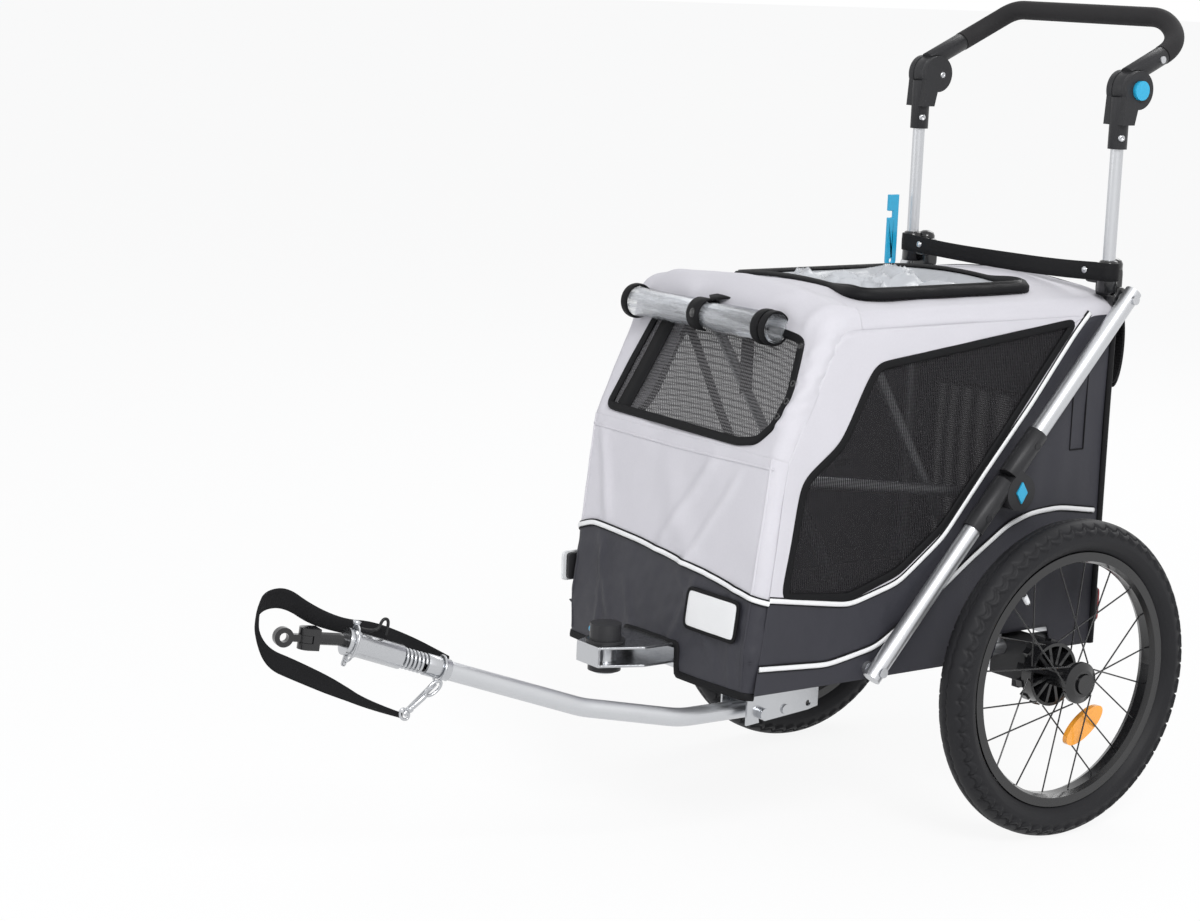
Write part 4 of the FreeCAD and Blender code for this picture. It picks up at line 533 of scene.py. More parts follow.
def new_group(name: str, inputs: dict[str, tuple[str, object]], outputs: dict[str, str]
              ) -> tuple[Nodes, bpy.types.NodeOutputs, bpy.types.NodeInputs]:
    """An empty shader group with named sockets.

    Args:
        name: the group's name.
        inputs: each input's kind and its first value. Every group also takes a Vector.
        outputs: each output's kind.

    Returns:
        The group's wiring helper, the sockets that bring its inputs and those that take its outputs.
    """
    tree = bpy.data.node_groups.new(name, "ShaderNodeTree")
    for label, (kind, value) in {"Vector": (VECTOR, None), **inputs}.items():
        socket = tree.interface.new_socket(name=label, in_out="INPUT", socket_type=kind)
        if value is not None:
            socket.default_value = value
    for label, kind in outputs.items():
        tree.interface.new_socket(name=label, in_out="OUTPUT", socket_type=kind)
    nodes = Nodes(tree)
    return nodes, nodes.add("NodeGroupInput").outputs, nodes.add("NodeGroupOutput").inputs


FLOAT, COLOUR, VECTOR = "NodeSocketFloat", "NodeSocketColor", "NodeSocketVector"


def weave_group() -> bpy.types.NodeTree:
    """Plain weave: threads over and under each other, from the product of two sine waves."""
    n, given, out = new_group("weave", {"Pitch": (FLOAT, 0.0009)}, {"Height": FLOAT})
    k = n.math("DIVIDE", FULL_TURN, given["Pitch"])
    a, b = (n.math("SINE", n.math("MULTIPLY", part, k)) for part in n.split(given["Vector"]))
    n.link(n.math("MULTIPLY_ADD", n.math("MULTIPLY", a, b), 0.5, 0.5), out["Height"])
    return n.tree


def mottle_group() -> bpy.types.NodeTree:
    """Uneven colour: broad and fine noise that darken or lighten a colour a little. Turned far up, as on the clear
    films, it paints bright highlights and dark reflected streaks into the colour.
    """
    n, given, out = new_group("mottle", {"Colour": (COLOUR, (1, 1, 1, 1)), "Scale": (FLOAT, 14.0),
                                         "Amount": (FLOAT, 0.08)}, {"Colour": COLOUR, "Mask": FLOAT})
    place, scale = given["Vector"], given["Scale"]
    broad = n.add("ShaderNodeTexNoise", Detail=3.0, Vector=place, Scale=scale)
    fine = n.add("ShaderNodeTexNoise", Detail=2.0, Vector=place, Scale=n.math("MULTIPLY", scale, 31.0))
    mixed = n.math("MULTIPLY_ADD", fine.outputs["Fac"], 0.35, n.math("MULTIPLY", broad.outputs["Fac"], 0.65))
    gain = n.math("MULTIPLY_ADD", n.math("SUBTRACT", mixed, 0.5), n.math("MULTIPLY", given["Amount"], 4.0), 1.0)
    scaled = n.add("ShaderNodeVectorMath", operation="SCALE")
    n.link(given["Colour"], scaled.inputs[0])
    n.link(gain, scaled.inputs["Scale"])
    n.link(scaled.outputs[0], out["Colour"])
    n.link(mixed, out["Mask"])
    return n.tree


def grain_group() -> bpy.types.NodeTree:
    """Moulded plastic's fine leather grain: noise on a cell pattern."""
    n, given, out = new_group("grain", {"Scale": (FLOAT, 900.0)}, {"Height": FLOAT})
    place, scale = given["Vector"], given["Scale"]
    cells = n.add("ShaderNodeTexVoronoi", Vector=place, Scale=scale)
    noise = n.add("ShaderNodeTexNoise", Detail=2.0, Vector=place, Scale=n.math("MULTIPLY", scale, 0.06))
    n.link(n.math("MULTIPLY_ADD", noise.outputs["Fac"], 0.6, cells.outputs["Distance"]), out["Height"])
    return n.tree


def drawn_group() -> bpy.types.NodeTree:
    """Drawn and anodised tube: noise stretched into long fine lines, with faint clouds."""
    n, given, out = new_group("drawn", {"Stretch": (VECTOR, (60.0, 60.0, 60.0))}, {"Height": FLOAT, "Mask": FLOAT})
    place = given["Vector"]
    lines = n.add("ShaderNodeTexNoise", Scale=12.0, Detail=4.0, Vector=n.scaled("MULTIPLY", place, given["Stretch"]))
    cloud = n.add("ShaderNodeTexNoise", Scale=9.0, Detail=3.0, Vector=place)
    n.link(lines.outputs["Fac"], out["Height"])
    half = n.math("MULTIPLY", cloud.outputs["Fac"], 0.5)
    n.link(n.math("MULTIPLY_ADD", lines.outputs["Fac"], 0.5, half), out["Mask"])
    return n.tree


def netting_group() -> bpy.types.NodeTree:
    """Open net: round holes in rows, from sine waves; 1 on the threads and 0 in the holes."""
    n, given, out = new_group("netting", {"Pitch": (VECTOR, (0.003, 0.003, 1.0)), "Open": (FLOAT, 0.2),
                                          "Lean": (FLOAT, 0.0), "Veil": (FLOAT, 0.12)},
                              {"Thread": FLOAT, "Height": FLOAT})
    parts = n.split(n.scaled("DIVIDE", given["Vector"], given["Pitch"]))
    a, b = (n.math("MULTIPLY", n.math("COSINE", n.math("MULTIPLY", part, FULL_TURN)),
                   n.math(lean, 1.0, given["Lean"])) for part, lean in zip(parts, ("ADD", "SUBTRACT")))
    height = n.math("MULTIPLY_ADD", n.math("ADD", a, b), 0.25, 0.5)
    thread = n.math("MULTIPLY_ADD", n.math("SUBTRACT", height, given["Open"]), 6.0, 0.5)
    n.link(n.math("MINIMUM", n.math("MAXIMUM", thread, given["Veil"]), 1.0), out["Thread"])
    n.link(height, out["Height"])
    return n.tree


def webbing_group() -> bpy.types.NodeTree:
    """Webbing: ribs along the strap crossed by a slant twill."""
    n, given, out = new_group("webbing_weave", {}, {"Height": FLOAT})
    along, across = n.split(given["Vector"])
    a = n.math("SINE", n.math("MULTIPLY", n.math("ADD", along, across), 2600.0))
    b = n.math("SINE", n.math("MULTIPLY", across, 3900.0))
    n.link(n.math("MULTIPLY_ADD", n.math("MULTIPLY", a, b), 0.5, 0.5), out["Height"])
    return n.tree


GROUPS = {make.__name__[:-6]: make() for make in (weave_group, mottle_group, grain_group, drawn_group,
                                                   netting_group, webbing_group)}


class Surface(Enum):
    """How a finish is built up."""

    CLOTH = "cloth"
    NET = "net"
    PLASTIC = "plastic"
    METAL = "metal"
    RUBBER = "rubber"
    WEBBING = "webbing"
    FILM = "film"
    LENS = "lens"


BUMP_DEPTH = {Surface.CLOTH: 0.0004, Surface.NET: 0.0006, Surface.PLASTIC: 0.0003, Surface.METAL: 0.0002,
              Surface.RUBBER: 0.0003, Surface.WEBBING: 0.0005, Surface.FILM: 0.008, Surface.LENS: 0.0008}
ROUGH_SPREAD = {Surface.METAL: 0.25, Surface.PLASTIC: 0.2, Surface.RUBBER: 0.15}
GRAIN_SCALE = {Surface.PLASTIC: 1400.0, Surface.RUBBER: 600.0}
PLAIN_SPREAD = 0.1
COAT_ROUGHNESS = 0.12
SHEEN_ROUGHNESS = 0.5
FILM_CONTRAST = 4.5
FILM_MOST = 0.96
LENS_CELLS = 20


@dataclass(frozen=True)
class Finish:
    """One finish: a colour, its gloss and the kind of surface that carries it."""

    name: str
    slot: str
    surface: Surface
    colour: tuple[float, float, float]
    roughness: float = 0.5
    metallic: float = 0.0
    bump: float = 0.3
    amount: float = 0.05
    scale: float = 14.0
    pitch: tuple[float, float] = (0.003, 0.003)
    open_share: float = 0.25
    stretch: tuple[float, float, float] = (60.0, 60.0, 60.0)
    alpha: float = 1.0
    coat: float = 0.0
    pattern: bool = False
    specular: float = 0.5
    sheen: float = 0.02
    lean: float = 0.0
    veil: float = 0.12

    def material(self) -> bpy.types.Material:
        """Build the node material once and give it back after that."""
        if self.name in bpy.data.materials:
            return bpy.data.materials[self.name]
        made = bpy.data.materials.new(self.name)
        made.use_nodes = True
        made.node_tree.nodes.clear()
        n = Nodes(made.node_tree)
        shader = n.add("ShaderNodeBsdfPrincipled", **{
            "Metallic": self.metallic, "Roughness": self.roughness, "Coat Weight": self.coat,
            "Coat Roughness": COAT_ROUGHNESS, "Specular IOR Level": self.specular})
        n.link(shader.outputs[0], n.add("ShaderNodeOutputMaterial").inputs[0])
        if self.pattern:
            place = n.add("ShaderNodeUVMap", uv_map="pattern").outputs[0]
        else:
            place = n.add("ShaderNodeTexCoord").outputs["Object"]
        self.wire(n, shader, place)
        return made

    def group(self, n: Nodes, name: str, place: bpy.types.NodeSocket, **values: object) -> bpy.types.NodeOutputs:
        """Place one of the shared groups and give back its outputs."""
        node = n.add("ShaderNodeGroup")
        node.node_tree = GROUPS[name]
        n.link(place, node.inputs["Vector"])
        for label, value in values.items():
            node.inputs[label].default_value = value
        return node.outputs

    def wire(self, n: Nodes, shader: bpy.types.Node, place: bpy.types.NodeSocket) -> None:
        """Wire colour, roughness, holes and bump for the kind of surface.

        Args:
            n: the material's wiring helper.
            shader: the material's shader.
            place: where on the piece a point is.
        """
        kind = self.surface
        # Clear film: the place is stretched so the colour noise below runs in streaks. These are its painted highlights
        # and painted dark reflections.
        if kind is Surface.FILM:
            place = n.scaled("MULTIPLY", place, self.stretch)
        mottle = self.group(n, "mottle", place, Colour=(*self.colour, 1.0), Scale=self.scale, Amount=self.amount)
        n.link(mottle["Colour"], shader.inputs["Base Color"])
        mask = mottle["Mask"]
        if kind is Surface.CLOTH:
            height = self.group(n, "weave", place, Pitch=self.pitch[0])["Height"]
            shader.inputs["Sheen Weight"].default_value = self.sheen
            shader.inputs["Sheen Roughness"].default_value = SHEEN_ROUGHNESS
        elif kind is Surface.NET:
            net = self.group(n, "netting", place, Pitch=(*self.pitch, 1.0), Open=self.open_share, Lean=self.lean,
                             Veil=self.veil)
            height = net["Height"]
            n.link(net["Thread"], shader.inputs["Alpha"])
        elif kind is Surface.WEBBING:
            height = self.group(n, "webbing", place)["Height"]
        elif kind is Surface.METAL:
            drawn = self.group(n, "drawn", place, Stretch=self.stretch)
            height, mask = drawn["Height"], drawn["Mask"]
        elif kind is Surface.FILM:
            # The film's opacity also follows stretched streaks, so its painted highlights and dark reflections show in
            # bands with clearer film between.
            height = self.group(n, "drawn", place, Stretch=(1.0, 1.0, 1.0))["Height"]
            veil = n.math("MULTIPLY_ADD", n.math("SUBTRACT", height, 0.5), FILM_CONTRAST, self.alpha)
            n.link(n.math("MINIMUM", n.math("MAXIMUM", veil, self.veil), FILM_MOST), shader.inputs["Alpha"])
        elif kind is Surface.LENS:
            cells = n.add("ShaderNodeTexVoronoi", Scale=self.scale * LENS_CELLS, Vector=place)
            height = cells.outputs["Distance"]
        else:
            height = self.group(n, "grain", place, Scale=GRAIN_SCALE[kind])["Height"]
        bump = n.add("ShaderNodeBump", Strength=min(1.0, self.bump), Distance=BUMP_DEPTH[kind], Height=height)
        n.link(bump.outputs[0], shader.inputs["Normal"])
        spread = ROUGH_SPREAD.get(kind, PLAIN_SPREAD)
        rough = n.math("MULTIPLY_ADD", n.math("SUBTRACT", mask, 0.5), spread, self.roughness)
        n.link(rough, shader.inputs["Roughness"])


LIGHT_CLOTH = Finish("light_cloth", "light_fabric", Surface.CLOTH, (0.645, 0.631, 0.668), 0.74, bump=0.25,
                     amount=0.035, scale=9.0, pitch=(0.0011, 0.0011), pattern=True, specular=0.3, sheen=0.10)
DARK_CLOTH = Finish("dark_cloth", "charcoal_fabric", Surface.CLOTH, (0.035, 0.035, 0.044), 0.46, bump=0.35,
                    amount=0.10, scale=9.0, pitch=(0.0011, 0.0011), pattern=True, specular=0.30)
BLACK_CLOTH = Finish("black_cloth", "webbing", Surface.CLOTH, (0.008, 0.008, 0.009), 0.6, bump=0.4,
                     amount=0.10, scale=25.0, pitch=(0.0014, 0.0014), pattern=True, specular=0.14, sheen=0.0)
SIDE_NET = Finish("side_net", "mesh", Surface.NET, (0.024, 0.023, 0.025), 0.6, bump=0.5, amount=0.08,
                  pitch=(0.0030, 0.0046), open_share=0.44, pattern=True, specular=0.15, lean=0.5, veil=0.5)
HOOD_NET = Finish("hood_net", "mesh", Surface.NET, (0.125, 0.122, 0.126), 0.6, bump=0.5, amount=0.08,
                  pitch=(0.0036, 0.0034), open_share=0.54, pattern=True, specular=0.2, veil=0.34)
DENSE_NET = Finish("dense_net", "mesh", Surface.NET, (0.012, 0.012, 0.013), 0.6, bump=0.8, amount=0.08,
                   open_share=0.16, pattern=True, specular=0.2, veil=0.8)
PIPING = Finish("reflective_piping", "reflective", Surface.CLOTH, (0.86, 0.86, 0.86), 0.35, amount=0.02,
                scale=30.0, pitch=(0.0016, 0.0016), pattern=True)
# Both clear films get a large colour amount on stretched noise. This is painted white highlights and painted dark
# reflected streaks, not the film's own tone.
FILM = Finish("clear_film", "clear_film", Surface.FILM, (0.52, 0.57, 0.62), 0.05, bump=1.0, amount=1.1,
              scale=7.0, alpha=0.5, coat=1.0, specular=0.9, stretch=(1.0, 0.35, 1.0), veil=0.14)
ROLLED_FILM = Finish("rolled_film", "clear_film", Surface.FILM, (0.66, 0.68, 0.71), 0.06, 0.2, bump=0.6,
                     amount=0.8, scale=9.0, alpha=0.44, coat=1.0, specular=1.0, stretch=(0.45, 4.5, 4.5), veil=0.16)
TUBE = Finish("anodised_tube", "silver_tube", Surface.METAL, (0.60, 0.61, 0.63), 0.36, 0.9, bump=0.06, amount=0.03)
STEEL = Finish("bright_steel", "steel", Surface.METAL, (0.52, 0.53, 0.55), 0.27, 1.0, bump=0.08,
               stretch=(200.0, 200.0, 200.0))
PLASTIC = Finish("black_plastic_grain", "black_plastic", Surface.PLASTIC, (0.028, 0.028, 0.030), 0.38,
                 bump=0.25, amount=0.10, scale=30.0, specular=0.22)
GLOSS_BLACK = Finish("gloss_black", "black_metal", Surface.PLASTIC, (0.009, 0.009, 0.010), 0.25, bump=0.05,
                     amount=0.08, coat=0.4, specular=0.4)
BLUE = Finish("blue_plastic_gloss", "blue_plastic", Surface.PLASTIC, (0.022, 0.40, 0.66), 0.3, bump=0.06,
              amount=0.03, coat=0.2)
TYRE = Finish("tyre_rubber", "tyre", Surface.RUBBER, (0.016, 0.016, 0.018), 0.55, amount=0.18, scale=22.0,
              specular=0.22)
FOAM = Finish("grip_foam", "foam", Surface.RUBBER, (0.026, 0.025, 0.026), 0.75, bump=0.5, amount=0.12,
              scale=40.0, specular=0.2)
AMBER = Finish("amber_lens", "amber", Surface.LENS, (1.0, 0.40, 0.04), 0.22, bump=0.4, amount=0.06, coat=0.5)
BOARD = Finish("floor_board", "board", Surface.PLASTIC, (0.08, 0.075, 0.07), 0.6, amount=0.2)
STRAP = Finish("black_webbing", "webbing", Surface.WEBBING, (0.009, 0.009, 0.010), 0.6, bump=0.6, amount=0.12,
               scale=40.0, pattern=True, specular=0.15)
GLOSS_CLOTH = Finish("zip_bead", "webbing", Surface.PLASTIC, (0.010, 0.010, 0.011), 0.35, bump=0.4,
                     amount=0.12, scale=40.0, specular=0.3)
RED = Finish("red_lens", "amber", Surface.LENS, (0.42, 0.01, 0.015), 0.25, bump=0.4)
PALE_LENS = Finish("pale_lens", "reflective", Surface.LENS, (0.80, 0.81, 0.82), 0.2, bump=0.4, coat=0.4)


@dataclass(frozen=True)
class Studio:
    """Camera, lights, backdrop and floor."""

    eye: tuple = (2536.3, -2427.0, 1049.6)
    azimuth: float = 53.316
    elevation: float = 10.37
    roll: float = 2.316
    focal_pixels: float = 2725.8
    frame_pixels: float = 1200.0
    sensor: float = 36.0
    floor_reach: float = 60.0
    floor_white: float = 0.98
    floor_glow: float = 0.90
    sky: tuple = (0.94, 0.96, 1.0, 1)
    sky_strength: float = 0.50
    lamps: tuple = (("key", (3.1, -1.3, 3.1), (0, 0.1, 0.4), 1.6, 116),
                    ("fill", (-1.6, -3.8, 1.8), (0, 0.1, 0.4), 2.2, 22),
                    ("rim", (-1.2, 3.2, 3.0), (0, 0.2, 0.5), 2.0, 45))

    def camera(self) -> None:
        """Stand the camera where the photograph was taken from, found from both wheels' rims."""
        a, e, r = (math.radians(v) for v in (self.azimuth, self.elevation, self.roll))
        back = np.array([math.sin(a) * math.cos(e), -math.cos(a) * math.cos(e), math.sin(e)])
        right = unit(np.cross(-back, [0, 0, 1]))
        up = np.cross(right, -back)
        right, up = right * math.cos(r) + up * math.sin(r), up * math.cos(r) - right * math.sin(r)
        data = bpy.data.cameras.new("camera")
        data.sensor_width = self.sensor
        data.lens = self.focal_pixels / self.frame_pixels * self.sensor
        data.clip_end = 100
        cam = bpy.data.objects.new("camera", data)
        bpy.context.scene.collection.objects.link(cam)
        turn = Matrix((right, up, back)).transposed().to_4x4()
        cam.matrix_world = Matrix.Translation(Vector(to_row(self.eye))) @ turn
        bpy.context.scene.camera = cam

    def lamp(self, name: str, place: tuple, target: tuple, size: float, power: float) -> None:
        """A soft square lamp that looks at a point.

        Args:
            name: its name.
            place: where it stands, in metres.
            target: what it looks at.
            size: its width.
            power: its light in watts.
        """
        data = bpy.data.lights.new(name, "AREA")
        data.shape = "SQUARE"
        data.size = size
        data.energy = power
        lamp = bpy.data.objects.new(name, data)
        bpy.context.scene.collection.objects.link(lamp)
        lamp.location = place
        lamp.rotation_euler = (Vector(place) - Vector(target)).to_track_quat("Z", "Y").to_euler()

    def world(self) -> None:
        """A white backdrop to the camera and to gloss, and a plain grey light on matt surfaces."""
        world = bpy.data.worlds.new("studio")
        bpy.context.scene.world = world
        world.use_nodes = True
        world.node_tree.nodes.clear()
        n = Nodes(world.node_tree)
        plain = n.add("ShaderNodeBackground", Color=self.sky, Strength=self.sky_strength)
        white = n.add("ShaderNodeBackground", Color=(1, 1, 1, 1), Strength=1.0)
        n.mixed(n.seen(), plain, white, "ShaderNodeOutputWorld")

    def floor(self) -> None:
        """A wide pale floor that keeps a soft shadow and fades into the backdrop."""
        mesh = bpy.data.meshes.new("floor")
        reach = self.floor_reach
        mesh.from_pydata([(-reach, -reach, 0), (reach, -reach, 0), (reach, reach, 0), (-reach, reach, 0)], [],
                         [(0, 1, 2, 3)])
        plane = bpy.data.objects.new("floor", mesh)
        bpy.context.scene.collection.objects.link(plane)
        pale = bpy.data.materials.new("floor_white")
        pale.use_nodes = True
        pale.node_tree.nodes.clear()
        n = Nodes(pale.node_tree)
        matt = n.add("ShaderNodeBsdfDiffuse", Color=(*(self.floor_white,) * 3, 1))
        glow = n.add("ShaderNodeEmission", Color=(1, 1, 1, 1), Strength=1.0)
        n.mixed(n.math("MULTIPLY", n.seen(), self.floor_glow), matt, glow, "ShaderNodeOutputMaterial")
        mesh.materials.append(pale)
        plane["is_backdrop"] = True

    def build(self) -> None:
        """Set the whole studio."""
        bpy.context.scene.view_settings.view_transform = "Standard"
        self.camera()
        self.world()
        self.floor()
        for lamp in self.lamps:
            self.lamp(*lamp)


@dataclass
class Shell:
    """The cabin's outer surface: a profile up the front and along the roof, rounded into the sides."""

    half_width: float = 183.0
    shoulder: float = 17.0
    hem_z: float = HEM_Z
    eave_z: float = 656.0
    crown: float = 20.0
    crown_run: float = 170.0
    overlap: float = 4.0
    front_bottom_y: float = -453.0
    ledge_y: float = -419.0
    ledge_z: float = 494.0
    top_front_y: float = -345.0
    rear_y: float = 126.0
    bends: tuple[float, float] = (22.0, 42.0)
    bend_points: int = 17
    slope_step: float = 6.0
    line: Array = field(init=False)
    along: Array = field(init=False)

    def __post_init__(self) -> None:
        """Work out the profile with its two bends as arcs."""
        corners = [np.array(p) for p in ((self.front_bottom_y, self.hem_z), (self.ledge_y, self.ledge_z),
                                         (self.top_front_y, self.eave_z), (self.rear_y, self.eave_z))]
        points = [corners[0]]
        for i, radius in enumerate(self.bends, start=1):
            back = unit(corners[i - 1] - corners[i])
            ahead = unit(corners[i + 1] - corners[i])
            half = math.acos(float(back @ ahead)) / 2
            reach = radius / math.tan(half)
            centre = corners[i] + unit(back + ahead) * radius / math.sin(half)
            first = corners[i] + back * reach - centre
            last = corners[i] + ahead * reach - centre
            a0 = math.atan2(first[1], first[0])
            a1 = math.atan2(last[1], last[0])
            turn = (a1 - a0 + math.pi) % FULL_TURN - math.pi
            for t in np.linspace(0, 1, self.bend_points):
                points.append(centre + radius * np.array([math.cos(a0 + turn * t), math.sin(a0 + turn * t)]))
        points.append(corners[3])
        self.line = np.array(points)
        self.along = distances(self.line)

    @property
    def edge(self) -> float:
        """The flat cloth's half width out to where the side wall starts."""
        return self.half_width - self.shoulder + self.shoulder * math.pi / 2

    def s_at_z(self, z: Array | float) -> Array:
        """How far along the profile a height on the front or hood is."""
        rising = self.line[:, 1] <= self.eave_z - 1e-6
        return np.interp(z, self.line[rising, 1], self.along[rising])

    def s_at_y(self, y: Array | float) -> Array:
        """How far along the profile a y on the roof is."""
        return np.interp(y, self.line[:, 0], self.along)

    def place(self, s: Array, x: Array, out: Array | float = 0.0) -> Array:
        """Map flat cloth to the shell.

        Args:
            s: distance up the profile from the front hem.
            x: distance across from the middle, past the edge round the shoulder.
            out: distance off the shell.

        Returns:
            Points; past the shoulder's tangent a quarter circle carries the cloth to the side, then
            straight down it.
        """
        s, x = np.broadcast_arrays(np.asarray(s, float), np.asarray(x, float))
        y, z = (np.interp(s, self.along, self.line[:, i]) for i in (0, 1))
        step = self.slope_step
        y0, y1 = (np.interp(s + d, self.along, self.line[:, 0]) for d in (-step, step))
        z0, z1 = (np.interp(s + d, self.along, self.line[:, 1]) for d in (-step, step))
        ahead = unit(np.stack([y1 - y0, z1 - z0], -1))
        normal = np.stack([-ahead[..., 1], ahead[..., 0]], -1)
        flat = self.half_width - self.shoulder
        over = np.clip(np.abs(x) - flat, 0, None)
        angle = np.clip(over / self.shoulder, 0, math.pi / 2)
        radius = self.shoulder + out
        px = np.sign(x) * (np.minimum(np.abs(x), flat) + radius * np.sin(angle))
        drop = radius * (1 - np.cos(angle)) - out + np.clip(over - self.shoulder * math.pi / 2, 0, None)
        rise = smooth((s - self.s_at_z(self.ledge_z)) / self.crown_run)
        lift = self.crown * rise * (1 - np.clip(x / self.edge, -1, 1) ** 2)
        return np.stack([px, y - normal[..., 0] * drop, z - normal[..., 1] * drop + lift], -1)

    def edge_line(self, start: float, end: float, count: int) -> Array:
        """The line where the shell meets a side wall, as (y, z) between two distances."""
        s = np.linspace(start, end, count)
        return self.place(s, np.full(count, self.edge))[:, 1:]

    def edge_at(self, s: float) -> Array:
        """One point of that line, as a line of its own."""
        return self.edge_line(s, s, 1)

    def normal(self, s: Array, x: Array) -> Array:
        """Outward direction of the shell, from a small step off it."""
        return unit(self.place(s, x, 1.0) - self.place(s, x, 0.0))


SHELL = Shell()


@dataclass
class SideCloth:
    """Flat cloth of a side: a place (y, z) and a small bulge outwards."""

    bulge: float = 2.5
    bulge_pitch: float = 420.0

    def place(self, y: Array, z: Array, out: Array | float = 0.0, side: float = 1.0) -> Array:
        """A point of the side wall: its plane, a broad bulge and an offset."""
        y, z = np.broadcast_arrays(np.asarray(y, float), np.asarray(z, float))
        x = SHELL.half_width + out + self.bulge * waves(y, z, self.bulge_pitch, 2.0) * 0.5
        return np.stack([side * x, y, z], -1)


SIDE = SideCloth()


@dataclass
class Panels:
    """Cloth panels of the cabin and everything sewn to them."""

    window: tuple = ((-274.1, 594.1), (-322.1, 502.2), (-376.0, 464.2), (-400.0, 328.9), (-299.0, 319.0),
                     (-222.0, 342.2), (-151.9, 390.8), (-84.8, 468.2), (53.0, 632.1))
    window_counts: tuple = (16, 12, 30, 30, 24, 24, 30, 60, 90)
    piping: tuple = ((-439.4, 327.6), (-298.0, 309.9), (-221.0, 328.9), (-151.0, 378.0), (-84.0, 456.0),
                     (-14.1, 534.0), (55.9, 620.0), (78.0, 642.7))
    piping_z: float = 330.0
    low_piping: tuple = ((-449.0, 248.5), (-327.0, 240.0), (-250.9, 252.9), (-173.9, 297.1), (-103.0, 344.8),
                         (-38.0, 384.2), (-1.0, 395.0), (47.0, 398.0), (110.0, 389.0))
    low_piping_z: float = 248.5
    split: tuple = ((-181.0, 344.8), (-135.8, 361.2), (-48.9, 356.1), (72.4, 343.1), (181.0, 326.0))
    front_columns: int = 181
    seam_x: float = 170.0
    tuck_depth: float = 7.0
    tuck_from: float = 90.0
    tuck_top: float = 60.0
    notch_height: float = 34.0
    notch_half: float = 58.0
    notch_ease: float = 10.0
    hem_section: tuple = ((-4.5, -1.4), (-4.5, 0.9), (-2.0, 1.5), (4.0, 1.2), (4.5, 0.2), (4.0, -1.4))
    seam_section: tuple = ((-1.8, -1.6), (-1.4, -0.1), (0.0, 0.3), (1.4, -0.1), (1.8, -1.6))
    arch_half: float = 52.0
    arch_z: float = 244.0
    hood_window: tuple = ((-152.0, 0.075), (104.0, 0.05), (136.0, 0.085), (154.0, 0.20), (163.0, 0.42),
                          (150.0, 0.78), (-122.0, 0.76), (-140.0, 0.40))
    hood_counts: tuple = (60, 14, 14, 22, 30, 70, 30, 26)
    roof_seam_y: float = -300.0
    roof_window: tuple = (122.0, -248.0, 14.0)
    roof_counts: tuple = (60, 50, 60, 50)
    film_sag: float = 30.0
    door: tuple = (140.0, 240.0, 515.0)
    zip_section: tuple = ((-9, -0.6), (-9, 1.0), (-2, 1.4), (0, 3.2), (2, 1.4), (9, 1.0), (9, -0.6))
    patch_x: float = 109.0
    patch_z: float = 297.0
    patch_half: tuple = (47.0, 23.0)
    plate_power: float = 0.22
    hood_bands: tuple = (("hook_tape", ((-124.0, 0.09), (-94.0, 0.72)), 13.0, 0.2),
                         ("slant_band", ((-70.0, 0.72), (84.0, 0.06)), 6.0, -7.0),
                         ("short_band", ((46.0, 0.74), (80.0, 0.37)), 10.0, -7.0))
    eyelets: tuple = ((163.0, 0.50), (163.0, 0.38), (157.0, 0.27))
    eyelet_profile: tuple = ((0.0, 2.0), (1.2, 2.3), (1.4, 3.4), (0.8, 4.4), (0.0, 4.6), (-0.6, 3.4))
    pocket: tuple = (((60.0, 575.0), (60.0, 470.0)), ((84.0, 575.0), (84.0, 470.0)), ((60.0, 470.0), (84.0, 470.0)))
    front_folds: tuple = (Fold((150, -8), (262, 72), 9, 4.2), Fold((128, 40), (250, 118), 7, 2.6),
                          Fold((120, 60), (250, -20), 20, 2.4), Fold((160, -120), (262, -150), 9, 3.0),
                          Fold((40, -90), (140, -130), 8, 3.2), Fold((14, -112), (130, -118), 5, 2.4),
                          Fold((20, 30), (120, 70), 8, 2.8), Fold((30, 120), (112, 40), 7, 2.2),
                          Fold((10, 150), (110, 140), 6, 1.8), Fold((4, -30), (90, -64), 7, 2.4))
    hood_folds: tuple = (Fold((318, 160), (350, 186), 4.5, 2.4), Fold((336, 167), (376, 188), 5, 3.0),
                         Fold((356, 173), (398, 190), 5, 3.0), Fold((380, 174), (424, 190), 6, 2.8),
                         Fold((404, 170), (446, 188), 6, 2.4), Fold((420, 60), (470, 110), 14, 3.2),
                         Fold((440, -60), (470, -140), 14, 3.2), Fold((462, -210), (462, 150), 34, 9.0),
                         Fold((430, 150), (520, 176), 8, 3.0), Fold((292, -150), (288, 130), 5, -1.6))

    def hood_s(self, share: float) -> float:
        """Distance up the profile of a share of the hood's slope."""
        return float(SHELL.s_at_z(SHELL.ledge_z + share * (SHELL.eave_z - SHELL.ledge_z) * 0.985))

    def split_line(self, count: int, over: float = 0.0) -> tuple[Array, Array]:
        """The curved join between light and dark cloth on the front, as flat (s, x) lines."""
        x = np.linspace(-SHELL.edge - over, SHELL.edge + over, count)
        knots = np.array(self.split)
        ratio = SHELL.edge / knots[-1, 0]
        z = np.interp(x, knots[:, 0] * ratio, knots[:, 1])
        return SHELL.s_at_z(rounded(z[:, None], 60, closed=False)[:, 0]), x

    def lift(self, s: Array, x: Array, folds: Sequence[Fold]) -> Array:
        """Folds and unevenness of the shell's cloth."""
        return folded(folds, s, x) + (waves(s, x, 150, 1.3) * 1.3 + waves(s, x, 52, 4.6) * 0.45)

    def fine(self, s: Array, x: Array) -> Array:
        """Small puckers of the dark cloth."""
        return waves(s, x, 34, 2.9) * 0.9 + waves(s, x, 62, 5.2)

    def tuck(self, s: Array, x: Array) -> Array:
        """How far the front's low corners are drawn in."""
        return (self.tuck_depth * (1 - smooth(s / self.tuck_top))
                * smooth((np.abs(x) - self.tuck_from) / self.tuck_from))

